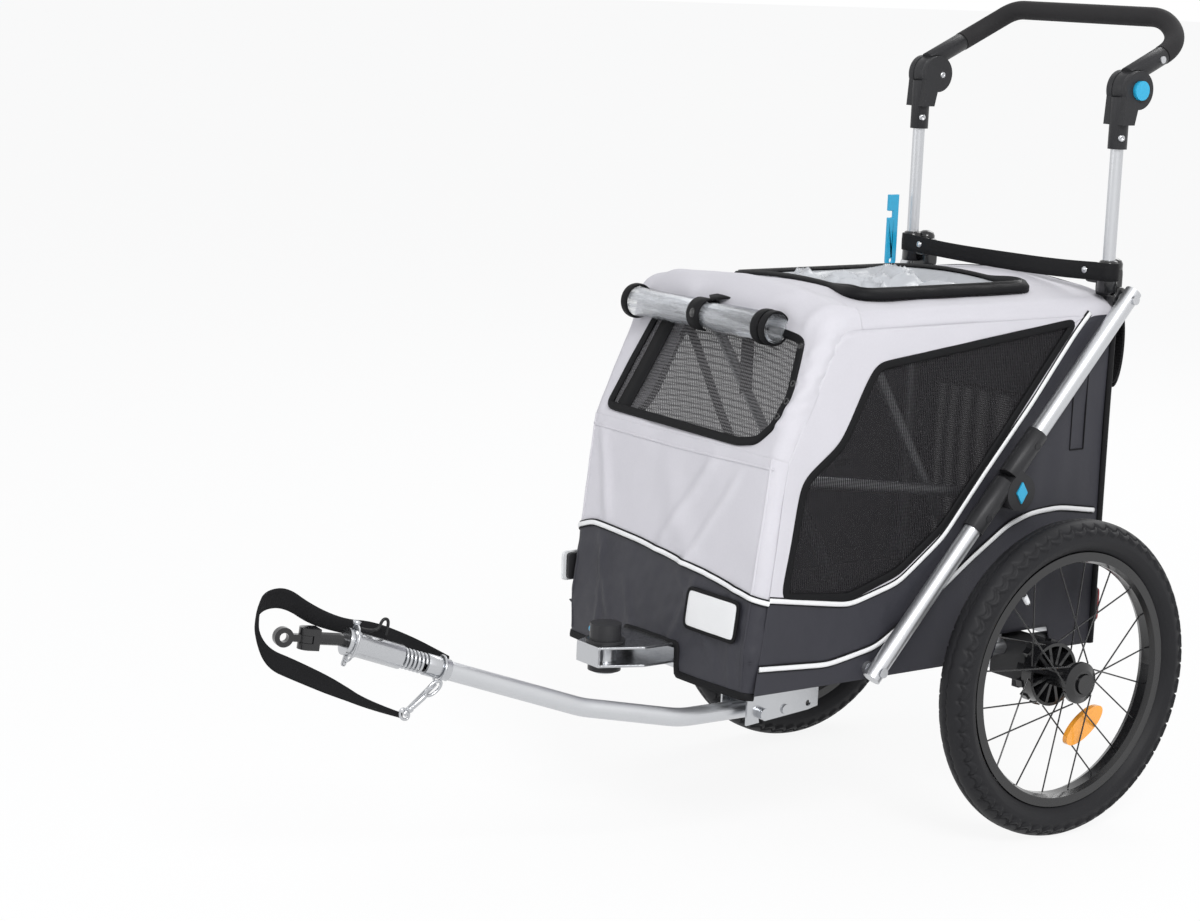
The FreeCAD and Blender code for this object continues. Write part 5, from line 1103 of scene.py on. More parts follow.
    def front(self) -> None:
        """Light front between the piping and the hood, dark cloth below it, its bound hem and the seams."""
        s_split, x = self.split_line(self.front_columns, SHELL.overlap)
        top = self.hood_s(0.0)
        low, high = np.stack([s_split, x], 1), np.stack([np.full(len(x), top), x], 1)
        flat = between(low, high, 60)
        s, xx = flat[..., 0], flat[..., 1]
        pts = SHELL.place(s, xx, self.lift(s, xx, self.front_folds))
        piece = Builder("front_light_panel").grid(pts, pattern=flat).sew(LIGHT_CLOTH, thickness=CLOTH_WALL)
        declare(flat)
        hem_z = SHELL.hem_z + self.notch_height * smooth((self.notch_half - np.abs(x)) / self.notch_ease)
        hem_s = SHELL.s_at_z(hem_z)
        flat = between(np.stack([hem_s, x], 1), low, 50)
        s, xx = flat[..., 0], flat[..., 1]
        out = self.lift(s, xx, self.front_folds) + self.fine(s, xx) * smooth(s / 30) - self.tuck(s, xx)
        dark = Builder("front_dark_panel").grid(SHELL.place(s, xx, out), pattern=flat)
        piece = dark.sew(DARK_CLOTH, thickness=CLOTH_WALL)
        declare(flat)
        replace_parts(piece, "front_panel")
        path = SHELL.place(hem_s, x, self.lift(hem_s, x, self.front_folds) - self.tuck(hem_s, x) + 0.2)
        Builder("front_hem_binding").strip(path, SHELL.normal(hem_s, x), self.hem_section).sew(BLACK_CLOTH)
        for side, name in SIDES:
            at = side * self.seam_x
            join = float(np.interp(at, x, s_split))
            self.seam(f"front_seam_dark_{name}", ((8.0, at), (join, at)), DARK_CLOTH)
            self.seam(f"front_seam_light_{name}", ((join, at), (top, side * (self.seam_x + 2))), LIGHT_CLOTH)
        self.seam("ledge_seam", ((top - 14, -176.0), (top - 16, 0.0), (top - 13, 176.0)), LIGHT_CLOTH)

    def seam(self, name: str, line: Sequence, finish: Finish) -> None:
        """A narrow felled seam that stands a little proud of the cloth.

        Args:
            name: the piece's name.
            line: its corners as flat (s, x) places.
            finish: the cloth it is sewn in.
        """
        s, x = resampled(line, 80).T
        path = SHELL.place(s, x, self.lift(s, x, self.front_folds) - self.tuck(s, x) + 0.9)
        pts = strip_points(path, SHELL.normal(s, x), self.seam_section)
        flat = np.stack(np.meshgrid(np.arange(80) * 3.0, np.arange(5) * 1.3, indexing="ij"), -1)
        Builder(name).grid(pts, pattern=flat).sew(finish, slot=LIGHT_CLOTH.slot)

    def hood_loop(self) -> Array:
        """The hood window's rounded outline as flat (s, x)."""
        return rounded(outline([(self.hood_s(share), x) for x, share in self.hood_window], self.hood_counts), 10)

    def hood(self) -> None:
        """Light hood round its window, as one sheet."""
        e = SHELL.edge + SHELL.overlap
        s0, s1 = self.hood_s(0.0), float(SHELL.s_at_y(self.roof_seam_y))
        outer = [(s0, -e), (s0, e - 50), (s0, e), (s0 + 30, e), (s0 + 80, e), (s1, e), (s1, -e), (s0 + 80, -e)]
        loop = self.hood_loop()
        flat = between(loop, outline(outer, self.hood_counts), 34)
        s, x = flat[..., 0], flat[..., 1]
        pts = SHELL.place(s, x, self.lift(s, x, self.hood_folds))
        piece = Builder("hood_cloth").grid(pts, wrap_v=True, pattern=flat).sew(LIGHT_CLOTH, thickness=CLOTH_WALL)
        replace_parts(piece, "hood")
        declare(flat, closed=True)
        self.bind("hood_window_binding", loop, 5.2, 3.6)

    def roof(self) -> None:
        """Light roof round its window, the window's zip, which swells on the near side, and its film."""
        e = SHELL.edge + SHELL.overlap
        half, y0, y1 = self.roof_window
        s1, s2, s3, s4 = (float(SHELL.s_at_y(y)) for y in (self.roof_seam_y, y0, y1, SHELL.rear_y - 0.5))
        loop = rounded(outline([(s2, -half), (s2, half), (s3, half), (s3, -half)], self.roof_counts), 14)
        flat = between(loop, outline([(s1, -e), (s1, e), (s4, e), (s4, -e)], self.roof_counts), 30)
        s, x = flat[..., 0], flat[..., 1]
        pts = SHELL.place(s, x, self.lift(s, x, ()) - 2.0 * smooth(1 - np.abs(s - (s2 + s3) / 2) / 260))
        piece = Builder("roof_cloth").grid(pts, wrap_v=True, pattern=flat).sew(LIGHT_CLOTH, thickness=CLOTH_WALL)
        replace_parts(piece, "roof_panel")
        declare(flat, closed=True)
        near = smooth((loop[:, 1] - 60.0) / 50.0)
        at_front = smooth((s2 + 40 - loop[:, 0]) / 40.0)
        self.bind("roof_window_tape", loop, 4.0, 3.0)
        wide = loop + np.stack([-9.0 * at_front * (0.3 + 0.7 * near), 10.0 * near], 1)
        self.bind("roof_window_zip", wide, 4.0 + 8.0 * near,
                  3.8 + 8.5 * near + 1.4 * waves(loop[:, 0], loop[:, 1], 60, 1.0) * near)
        bead = loop + np.stack([-10.0 * at_front * near, 11.0 * near], 1)
        self.bind("roof_window_bead", bead, 2.0, 5.4 + 8.5 * near, GLOSS_CLOTH)
        self.film(loop)

    def bind(self, name: str, loop: Array, half: Array | float, height: Array | float,
             finish: Finish = BLACK_CLOTH, out: float = 0.4) -> None:
        """A padded binding that follows a closed line on the shell.

        Args:
            name: the piece's name.
            loop: the line as flat (s, x).
            half: its half width, one for all or one for each point.
            height: how far it stands off, likewise.
            finish: what it is made of.
            out: how far off the shell its foot is.
        """
        s, x = closed_line(loop).T
        path = SHELL.place(s, x, out)
        normal = SHELL.normal(s, x)
        across = unit(np.cross(np.gradient(path, axis=0), normal))
        halves, heights = (np.append(v, v[:1]) if isinstance(v, np.ndarray) else np.full(len(path), v)
                           for v in (half, height))
        wide = np.array([-1, -1, -0.6, 0.0, 0.6, 1, 1])
        tall = np.array([0.0, 0.5, 1.0, 0.8, 1.0, 0.5, 0.0])
        rings = (path[:, None] + across[:, None] * (wide[None] * halves[:, None])[..., None]
                 + normal[:, None] * (tall[None] * heights[:, None] - 0.8)[..., None])
        Builder(name).skin(rings, loop=True).sew(finish)

    def film(self, loop: Array) -> None:
        """Clear film of the roof window, loose and creased, on its flap."""
        flat, t = shrunk(loop, 70, 0.985)
        s, x = flat[..., 0], flat[..., 1]
        edge = smooth((1 - t) * 3.2)
        ridges = 1 - np.abs(waves(s * 0.8, x, 150, 4.1)) ** 0.5
        creases = ridges * 34 + np.abs(waves(s, x, 62, 7.7)) ** 0.7 * 10
        pts = SHELL.place(s, x, -edge * (self.film_sag - creases))
        piece = Builder("roof_film").grid(pts, wrap_v=True, pattern=flat).sew(FILM, "roof_flap", thickness=0.5)
        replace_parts(piece, "roof_flap")
        declare(flat, closed=True)

    def hood_net(self) -> None:
        """Net of the hood's window, with the hook tape down one side, the bands behind it and the eyelets."""
        flat, t = shrunk(self.hood_loop(), 30)
        pts = SHELL.place(flat[..., 0], flat[..., 1], -1.5 - 3.0 * (1 - t ** 2))
        piece = Builder("hood_net").grid(pts, wrap_v=True, pattern=flat).sew(HOOD_NET)
        declare(flat, closed=True)
        for name, line, half, depth in self.hood_bands:
            s, x = resampled([(self.hood_s(share), x) for x, share in line], 60).T
            section = ((-half, 0.0), (-half, 0.9), (half, 0.9), (half, 0.0))
            Builder(name).strip(SHELL.place(s, x, depth), SHELL.normal(s, x), section).sew(BLACK_CLOTH)
        for i, (x, share) in enumerate(self.eyelets):
            s, x = np.array([self.hood_s(share)]), np.array([x])
            at, out = SHELL.place(s, x, 2.2)[0], SHELL.normal(s, x)[0]
            Builder(f"eyelet_{i}").lathe(self.eyelet_profile, at, out, ring=True).sew(GLOSS_BLACK)

    def patch(self) -> None:
        """White patch with a stitched dark border, low on the front."""
        half, rise = self.patch_half
        low, high = (float(SHELL.s_at_z(self.patch_z + v)) for v in (-rise, rise))
        x0, x1 = self.patch_x - half, self.patch_x + half
        loop = rounded(outline([(low, x0), (low, x1), (high, x1), (high, x0)], (40, 16, 40, 16)), 8)
        flat, t = shrunk(loop, 16)
        s, x = flat[..., 0], flat[..., 1]
        pts = SHELL.place(s, x, 4.2 + 0.8 * smooth((1 - t) * 6) + waves(s, x, 40, 2.2) * 0.3)
        piece = Builder("front_patch").grid(pts, wrap_v=True, pattern=flat).sew(PIPING, thickness=0.8)
        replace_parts(piece, "reflective_trim")
        self.bind("front_patch_border", loop, 2.6, 2.2, out=3.6)

    def reflectors(self) -> None:
        """Red reflectors behind and a pale one beside the front's far edge, each on its base."""
        rear, far = ((1, 0, 0), (0, 0, 1), (0, -1, 0)), ((0, 1, 0), (0, 0, 1), (1, 0, 0))
        plates = []
        for side, name in SIDES:
            plates.append((f"rear_reflector_base_{name}", (side * 164, 130.0, 262), (17, 24, 4.4), rear, PLASTIC))
            plates.append((f"rear_reflector_{name}", (side * 165, 134.5, 262), (15, 21, 3.6), rear, RED))
        plates.append(("side_reflector_base", (-186.0, -423, 296), (21, 17, 3.4), far, PLASTIC))
        plates.append(("side_reflector_lens", (-190.4, -427, 296), (22, 19, 2.2), far, PALE_LENS))
        for name, centre, size, turn, finish in plates:
            Builder(name).block(centre, size, self.plate_power, turn).build("trailer", finish)

    def rear(self) -> None:
        """Dark rear wall round the door, with a rounded top, and the door's net with its zip."""
        half, low, high = self.door
        hem, w = SHELL.hem_z, SHELL.half_width
        x = np.linspace(SHELL.edge, -SHELL.edge, 81)
        top = SHELL.place(np.full(81, float(SHELL.s_at_y(SHELL.rear_y - 0.5))), x)[:, [0, 2]]
        lines = (np.array([(-w, hem), (w, hem)]), np.vstack([[(w, hem)], top[:1]]), top,
                 np.vstack([top[-1:], [(-w, hem)]]))
        counts = (60, 60, 60, 60)
        loop = rounded(outline([(-half, low), (half, low), (half, high), (-half, high)], counts), 6)
        flat = between(loop, border(lines, counts), 24)
        out = waves(flat[..., 0], flat[..., 1], 130, 6.1) * 1.2
        pts = np.stack([flat[..., 0], SHELL.rear_y - 0.6 + out, flat[..., 1]], -1)
        piece = Builder("rear_cloth").grid(pts, wrap_v=True, pattern=flat).sew(DARK_CLOTH, thickness=CLOTH_WALL)
        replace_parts(piece, "rear_panel")
        declare(flat, closed=True)
        flat, _ = shrunk(loop, 20, 0.99)
        pts = np.stack([flat[..., 0], SHELL.rear_y - 1.0 + 0 * flat[..., 0], flat[..., 1]], -1)
        piece = Builder("rear_door_net").grid(pts, wrap_v=True, pattern=flat).sew(DENSE_NET, "rear_door")
        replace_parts(piece, "rear_door")
        declare(flat, closed=True)
        path = np.stack([loop[:, 0], np.full(len(loop), SHELL.rear_y), loop[:, 1]], -1)
        normal = np.tile([0.0, 1.0, 0.0], (len(loop), 1))
        Builder("rear_door_zip").strip(path, normal, self.zip_section, loop=True).sew(BLACK_CLOTH)

    def side(self, side: float, name: str) -> None:
        """Light and dark cloth, net, bindings and piping of one side.

        Args:
            side: 1 on the left and -1 on the right.
            name: the side's name.
        """
        hem = SHELL.hem_z
        pipe = np.array(self.piping)
        s_pipe, s_ledge = float(SHELL.s_at_z(self.piping_z)), float(SHELL.s_at_z(SHELL.ledge_z))
        s_bend, s_roof, s_rear = (float(SHELL.s_at_y(y)) for y in (-330.0, -255.0, 80.0))
        corner, roof_end = SHELL.edge_at(s_pipe), SHELL.edge_at(s_rear)
        lines = (SHELL.edge_line(s_roof, s_bend, 40), SHELL.edge_line(s_bend, s_ledge, 40),
                 SHELL.edge_line(s_ledge, s_pipe, 40), np.vstack([corner, pipe[1:2]]), pipe[1:3], pipe[2:4],
                 pipe[3:5], np.vstack([pipe[4:], roof_end]), np.vstack([roof_end, SHELL.edge_at(s_roof)]))
        loop = rounded(outline(self.window, self.window_counts), 10)
        flat = between(loop, border(lines, self.window_counts), 14)
        y, z = flat[..., 0], flat[..., 1]
        pts = SIDE.place(y, z, waves(y, z, 110, 3.3) * 0.8, side)
        light = Builder(f"side_light_{name}").grid(pts, wrap_v=True, pattern=flat)
        piece = light.sew(LIGHT_CLOTH, thickness=CLOTH_WALL, even=False)
        declare(flat, closed=True)
        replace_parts(piece, f"side_wall_{name}")
        count = 200
        rear_top = (SHELL.rear_y - 1, SHELL.eave_z - SHELL.shoulder)
        upper = resampled(np.vstack([corner, pipe[1:-1], roof_end, [rear_top]]), count)
        upper = rounded(upper, 12, closed=False)
        h = self.arch_half
        foot = SHELL.edge_at(0.0)[0]
        lower = resampled([(foot[0], hem), (-h, hem), (-h * 0.8, self.arch_z), (h * 0.8, self.arch_z), (h, hem),
                           (SHELL.rear_y - 1, hem)], count)
        flat = between(lower, upper, 60)
        y, z = flat[..., 0], flat[..., 1]
        drape = waves(y, z * 0.35, 70, 5.1) * 1.6 * smooth((z - hem) / 60)
        dark = Builder(f"side_dark_{name}").grid(SIDE.place(y, z, drape, side), pattern=flat)
        piece = dark.sew(DARK_CLOTH, thickness=CLOTH_WALL, even=False)
        declare(flat)
        flat, _ = shrunk(loop, 24)
        pts = SIDE.place(flat[..., 0], flat[..., 1], -1.6, side)
        piece = Builder(f"side_net_{name}").grid(pts, wrap_v=True, pattern=flat).sew(SIDE_NET)
        if side > 0:
            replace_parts(piece, "window_meshes")
        self.trims(side, name, loop)

    def run(self, name: str, line: Array, side: float, half: float, height: float, finish: Finish = BLACK_CLOTH,
            out: float = 0.4, closed: bool = False) -> None:
        """A sewn strip on a side wall.

        Args:
            name: the piece's name.
            line: its places (y, z).
            side: 1 on the left and -1 on the right.
            half: its half width.
            height: how far it stands off.
            finish: what it is made of.
            out: how far off the wall its foot is.
            closed: whether it runs all round.
        """
        path = SIDE.place(line[:, 0], line[:, 1], out, side)
        normal = np.tile([side, 0.0, 0.0], (len(line), 1))
        Builder(name).strip(path, normal, welt(half, height, -0.6), closed).sew(finish)

    def trims(self, side: float, name: str, loop: Array) -> None:
        """Window binding, piping with its black edges, rear edge and pocket seams of a side."""
        self.run(f"window_binding_{name}", loop, side, 5.0, 2.2, out=0.3, closed=True)
        for label, knots, start_z in (("side_piping", self.piping, self.piping_z),
                                      ("low_piping", self.low_piping, self.low_piping_z)):
            start = SHELL.edge_at(float(SHELL.s_at_z(start_z)))
            line = rounded(resampled(np.vstack([start, np.array(knots)[1:]]), 160), 14, closed=False)
            self.run(f"{label}_edge_{name}", line, side, 4.6, 1.4, out=0.6)
            self.run(f"{label}_{name}", line, side, 2.9, 2.4, PIPING, out=1.0)
        rear = resampled([(SHELL.rear_y - 4, HEM_Z), (SHELL.rear_y - 4, 636.0)], 60)
        self.run(f"rear_edge_{name}", rear, side, 4.5, 2.6)
        for i, ends in enumerate(self.pocket):
            self.run(f"pocket_seam_{i}_{name}", resampled(ends, 30), side, 0.8, 0.8)

    def front_piping(self) -> None:
        """Piping that sweeps round the front corners and over the front."""
        s, x = self.split_line(241)
        lift = self.lift(s, x, self.front_folds) + np.maximum(self.fine(s, x), 0.0) + 0.8
        path, normal = SHELL.place(s, x, lift), SHELL.normal(s, x)
        for label, half, height, finish in (("front_piping_edge", 4.6, 1.4, BLACK_CLOTH),
                                            ("front_piping", 2.9, 2.6, PIPING)):
            pts = strip_points(path, normal, welt(half, height, -0.8))
            Builder(label).grid(pts, wrap_v=True).sew(finish)

    def build(self) -> None:
        """Sew the whole cabin."""
        self.front()
        self.hood()
        self.roof()
        self.hood_net()
        self.patch()
        self.reflectors()
        self.rear()
        for side, name in SIDES:
            self.side(side, name)
        self.front_piping()


@dataclass
class Rolls:
    """Window covers rolled up and strapped: clear film over the hood's window, net behind the cabin."""

    radius: float = 19.0
    ends: tuple[float, float] = (-156.0, 119.0)
    turns: float = 2.35
    start: float = 2.1
    film_step: float = 2.3
    height_share: float = 0.82
    strap_x: float = -15.0
    strap_out: float = 2.6
    strap_section: tuple = ((-11, -0.8), (-11.4, 0.2), (-11, 1.5), (11, 1.5), (11.4, 0.2), (11, -0.8))
    strap_tail: tuple = ((2, 6, 19.6), (10, 18, 22.6), (20, 32, 22.8), (32, 46, 22.4))
    rings: tuple = (("roll_ring_right", -150.5, 5.5, 20.6), ("roll_ring_left", 102.0, 6.0, 20.6),
                    ("roll_ring_end", 115.0, 5.0, 20.0))
    snap: tuple = ((0.0, 0.01), (2.6, 0.01), (2.4, 3.6), (1.6, 5.4), (0.4, 6.2), (0.0, 6.2))
    snap_angle: float = 0.15
    net_half: float = 170.0
    net_size: tuple[float, float] = (17.0, 59.0)
    net_z: float = 598.0
    net_turns: float = 2.2
    net_strap_x: float = 90.0
    net_strap_section: tuple = ((-9, -0.6), (-9, 0.8), (9, 0.8), (9, -0.6))
    loop_points: int = 96

    def centre(self) -> Array:
        """The (y, z) of the front roll's axis, square off the hood's slope."""
        low = np.array([SHELL.ledge_y, SHELL.ledge_z])
        high = np.array([SHELL.top_front_y, SHELL.eave_z])
        along = unit(high - low)
        out = np.array([-along[1], along[0]])
        return low + (high - low) * self.height_share + out * (self.radius + self.strap_out)

    def film(self) -> None:
        """Clear film as a spiral whose radius falls with its turns, pinched under its strap."""
        cy, cz = self.centre()
        x = np.linspace(*self.ends, 150)[:, None]
        angle = np.linspace(0, FULL_TURN * self.turns, 170)[None, :]
        radius = self.radius - self.film_step * angle / FULL_TURN
        pinch = 1 - 0.13 * np.exp(-((x - self.strap_x) / 16) ** 2) - 0.05 * np.exp(-((x - 96) / 9) ** 2)
        crease = 0.9 * np.abs(waves(x, angle * 12, 60, 3.7)) ** 0.8 * smooth((x + 130) / 40)
        r = radius * pinch - crease + 1.4 * smooth((-120 - x) / 30)
        pts = np.stack([x + 0 * angle, cy - r * np.cos(angle + self.start), cz + r * np.sin(angle + self.start)], -1)
        flat = np.stack(np.broadcast_arrays(x, angle * self.radius * 0.8), -1)
        piece = Builder("film_roll").grid(pts, pattern=flat).sew(ROLLED_FILM, thickness=0.4)
        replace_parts(piece, "rolled_covers")
        declare(flat)

    def bound_ends(self) -> None:
        """Bound edges of the film at both ends of its roll, a little out of round."""
        cy, cz = self.centre()
        turns = np.linspace(0, FULL_TURN, self.loop_points, endpoint=False)
        normal = np.stack([0 * turns, -np.cos(turns), np.sin(turns)], -1)
        for name, x, half, r in self.rings:
            wobble = r + 0.7 * np.sin(2 * turns + x)
            path = np.stack([x + 1.6 * np.sin(turns + x), cy - wobble * np.cos(turns), cz + wobble * np.sin(turns)], -1)
            section = ((-half, -1.2), (-half, 0.9), (-half * 0.5, 1.6), (half * 0.5, 1.6), (half, 0.9), (half, -1.2))
            Builder(name).strip(path, normal, section, loop=True).sew(BLACK_CLOTH)

    def strap(self) -> None:
        """Strap round the film's roll, with its loose tail and its snap."""
        cy, cz = self.centre()
        angle = np.linspace(-1.3, FULL_TURN - 2.6, 110)
        r = 18.6 + 1.8 * smooth((angle - 3.0) / 0.5)
        path = np.stack([np.full(110, self.strap_x), cy - r * np.cos(angle), cz + r * np.sin(angle)], -1)
        normal = np.stack([0 * angle, -np.cos(angle), np.sin(angle)], -1)
        tail = resampled(np.array(self.strap_tail) + [self.strap_x, cy, cz], 40)
        tail = rounded(tail, 20, closed=False)
        builder = Builder("roll_strap").strip(path, normal, self.strap_section)
        builder.strip(tail, np.tile([0.0, -0.2, 1.0], (40, 1)), self.strap_section).sew(BLACK_CLOTH)
        out = np.array([0.0, -math.cos(self.snap_angle), math.sin(self.snap_angle)])
        at = np.array([self.strap_x, cy, cz]) + out * 18.2
        Builder("roll_snap").lathe(self.snap, at, out, 40).sew(GLOSS_BLACK)

    def net(self) -> None:
        """Dark net rolled behind the cabin: an oval spiral with two straps."""
        dy, dz = self.net_size
        cy, cz = SHELL.rear_y + dy + 0.6, self.net_z
        x = np.linspace(-self.net_half, self.net_half, 110)[:, None]
        angle = np.linspace(0, FULL_TURN * self.net_turns, 180)[None, :]
        share = 1 - 0.09 * angle / FULL_TURN
        dent = np.exp(-((np.abs(x) - self.net_strap_x) / 12) ** 2)
        lump = 1 - 0.03 * np.abs(waves(x, angle * 20, 70, 8.8)) - 0.06 * dent
        pts = np.stack([x + 0 * angle, cy - dy * share * lump * np.cos(angle),
                        cz + dz * share * lump * np.sin(angle)], -1)
        flat = np.stack(np.broadcast_arrays(x, angle * 38.0), -1)
        piece = Builder("net_roll").grid(pts, pattern=flat).sew(DENSE_NET, thickness=0.6)
        declare(flat)
        turns = np.linspace(0, FULL_TURN, self.loop_points, endpoint=False)
        normal = unit(np.stack([0 * turns, -np.cos(turns) * dz, np.sin(turns) * dy], -1))
        for side, name in SIDES:
            path = np.stack([np.full(self.loop_points, side * self.net_strap_x), cy - (dy - 0.6) * np.cos(turns),
                             cz + (dz - 1.6) * np.sin(turns)], -1)
            builder = Builder(f"net_roll_strap_{name}")
            builder.strip(path, normal, self.net_strap_section, loop=True).sew(BLACK_CLOTH)

    def puller(self, name: str, top: Sequence[float], out: Sequence[float]) -> None:
        """A zip's slider with a pull that hangs: a ridged block and a loop of wire.

        Args:
            name: the piece's name.
            top: the slider's middle.
            out: the way that it faces.
        """
        ahead = np.array([0.0, 0.0, 1.0])
        side = unit(np.cross(np.asarray(out, float), ahead))
        builder = Builder(name).block(top, (7.0, 4.5, 3.0), 0.4, np.stack([ahead, side, np.cross(ahead, side)]))
        angle = np.linspace(0, FULL_TURN, 48, endpoint=False)
        centre = np.array(top, float) - ahead * 15 + np.asarray(out, float)
        path = centre - ahead * (np.cos(angle) * 9)[:, None] + side * (np.sin(angle) * 4.6)[:, None]
        builder.wire(path, 1.3, 12, loop=True).sew(GLOSS_BLACK)

    def build(self) -> None:
        """Both rolls and the zip pulls beside them."""
        self.film()
        self.bound_ends()
        self.strap()
        self.net()
        self.puller("hood_zip_pull", (152.0, -366.0, 616.0), (0.0, -0.91, 0.41))
        self.puller("rear_zip_pull", (172.0, 130.0, 560.0), (0.0, 1.0, 0.0))


@dataclass
class Tether:
    """Safety strap round the bicycle's frame with its snap hook, and the linch pin on its cord."""

    width: float = 25.0
    thickness: float = 1.8
    length: float = 0.5
    route: tuple = ((52, -777, 268), (47, -805, 284), (43, -835, 298), (37, -869, 312), (32, -900, 317),
                    (30, -944, 335), (31, -977, 359), (33, -1004, 361), (40, -1020, 350), (47, -1016, 302),
                    (54, -973, 281), (62, -926, 256), (67, -891, 235), (72, -850, 219))
    width_shares: tuple = (0.5, 0.6, 0.7, 0.75, 0.7, 0.95, 1.0, 1.0, 1.0, 0.85, 1.0, 0.95, 0.55, 0.26)
    section: tuple = ((-1, 0.3), (-0.96, 1), (-0.6, 1), (-0.2, 1.12), (0.2, 1.12), (0.6, 1), (0.96, 1), (1.0, 0.3))
    ring_low: tuple = (78.0, -806.0, 252.5)
    hitch_front: tuple = (50.0, -912.99, 307.0)
    hitch_along: tuple = (-0.147, -0.931, 0.333)
    hitch_up: tuple = (0.0, 0.337, 0.942)
    pin_profile: tuple = ((-27.0, 0.01), (-27.0, 2.0), (-25.0, 3.0), (21.0, 3.0), (21.0, 4.6), (25.0, 4.6),
                          (25.5, 0.01))
    clip_size: tuple[float, float] = (21.5, 19.5)
    cord_low: float = 17.8
    cord_radius: float = 1.8
    cord_diameter: float = 0.0036

    def line(self, name: str, route: Sequence) -> Array:
        """Points along a route's smooth line, read from a NURBS curve of the third order.

        Args:
            name: the curve's name.
            route: its control points in axle millimetres.

        Returns:
            The points in axle millimetres.
        """
        curve = bpy.data.curves.new(name, "CURVE")
        curve.dimensions = "3D"
        spline = curve.splines.new("NURBS")
        spline.points.add(len(route) - 1)
        points = to_row(np.array(route, float))
        spline.points.foreach_set("co", np.hstack([points, np.ones((len(points), 1))]).ravel())
        spline.order_u = 3
        spline.use_endpoint_u = True
        spline.resolution_u = 16
        holder = bpy.data.objects.new(name, curve)
        bpy.context.scene.collection.objects.link(holder)
        mesh = bpy.data.meshes.new_from_object(holder)
        read = np.zeros(len(mesh.vertices) * 3)
        mesh.vertices.foreach_get("co", read)
        bpy.data.meshes.remove(mesh)
        bpy.data.objects.remove(holder)
        return (read.reshape(-1, 3) - AXLE_PLACE) / MM

    def strap(self) -> None:
        """Webbing on its edge along the route, narrower where it is gathered or turned away."""
        path = self.line("strap_line", self.route)
        t = np.linspace(0, 1, len(path))
        shares = np.interp(t, np.linspace(0, 1, len(self.width_shares)), self.width_shares)
        shares = rounded(shares[:, None], 30, closed=False)
        ahead = unit(np.gradient(path, axis=0) * [1, 1, 0.0])
        lean = 0.35 * np.sin(t * 9.0)[:, None]
        across = np.cross(ahead, [0.0, 0.0, 1.0])
        rise = unit(np.array([[0.0, 0.0, 1.0]]) + across * lean)
        normal = unit(np.cross(rise, ahead))
        v, skin = np.array(self.section, float).T
        cup = 1.4 * (v ** 2)[None, :, None] * normal[:, None] * np.sin(t * 14)[:, None, None]
        half = self.width / 2 * shares[:, :, None]
        sheet = path[:, None] + rise[:, None] * v[None, :, None] * half + cup
        wall = normal[:, None] * skin[None, :, None] * self.thickness / 2
        rings = np.concatenate([sheet + wall, (sheet - wall)[:, ::-1]], axis=1)
        around = np.concatenate([v, v[::-1]]) * self.width / 2
        flat = np.stack(np.meshgrid(distances(path), around, indexing="ij"), -1)
        piece = Builder("webbing_strap").skin(rings, pattern=flat).build("tow_bar", STRAP)
        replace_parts(piece, "safety_strap")

    def hook(self) -> None:
        """Swivel snap hook between the strap's end and the ring: an eye, a barrel and the hook's bow."""
        low, high = np.array(self.route[-1], float), np.array(self.ring_low)
        along = unit(high - low)
        reach = float(np.linalg.norm(high - low))
        side = unit(np.cross(along, [1.0, 0.2, 0.0]))
        builder = Builder("snap_hook")
        angle = np.linspace(0, FULL_TURN, 49)[:-1]
        for start, long, wide, wire in ((low + along * 3, 5.0, 7.5, 1.7), (high - along * 9, 11.0, 6.0, 1.8)):
            path = start + along * (np.cos(angle) * long)[:, None] + side * (np.sin(angle) * wide)[:, None]
            builder.wire(path, wire, 12, loop=True)
        barrel = ((8.0, 0.01), (8.0, 3.2), (11.0, 4.2), (13.0, 4.2), (14.0, 3.0), (16.0, 3.4), (reach - 24, 3.4),
                  (reach - 20, 2.6), (reach - 18, 0.01))
        builder.lathe(barrel, low, along).build("tow_bar", STEEL)

    def pin(self) -> None:
        """Hitch pin through the collar with its spring clip, and the cord that ties it to the hitch."""
        front, along, up = (np.array(v) for v in (self.hitch_front, self.hitch_along, self.hitch_up))
        at = front - along * 7
        side = np.cross(up, along)
        side = side * np.sign(side[0])
        tall, wide = self.clip_size
        angle = np.linspace(-0.1, math.pi + 0.1, 60)
        clip = at + up * (np.cos(angle) * tall)[:, None] + side * (np.sin(angle) * wide)[:, None]
        builder = Builder("hitch_pin_steel").lathe(self.pin_profile, at, up).wire(clip, 1.3, 12)
        piece = builder.build("hitch_pin", STEEL, slot=GLOSS_BLACK.slot)
        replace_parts(piece, "hitch_pin")
        rear, low, high = at - along * 28, self.cord_low, self.cord_low + 18
        route = [at + up * low - along * 6.1, rear + up * low, rear + up * high, rear - along * 10 + up * high,
                 rear - along * 10 + up * low]
        path = self.line("lanyard_line", route)
        cord = Builder("hitch_lanyard").wire(path, self.cord_radius, 14).build("hitch_pin", GLOSS_CLOTH)

    def build(self) -> None:
        """Strap first, then what hangs on it."""
        self.strap()
        self.hook()
        self.pin()


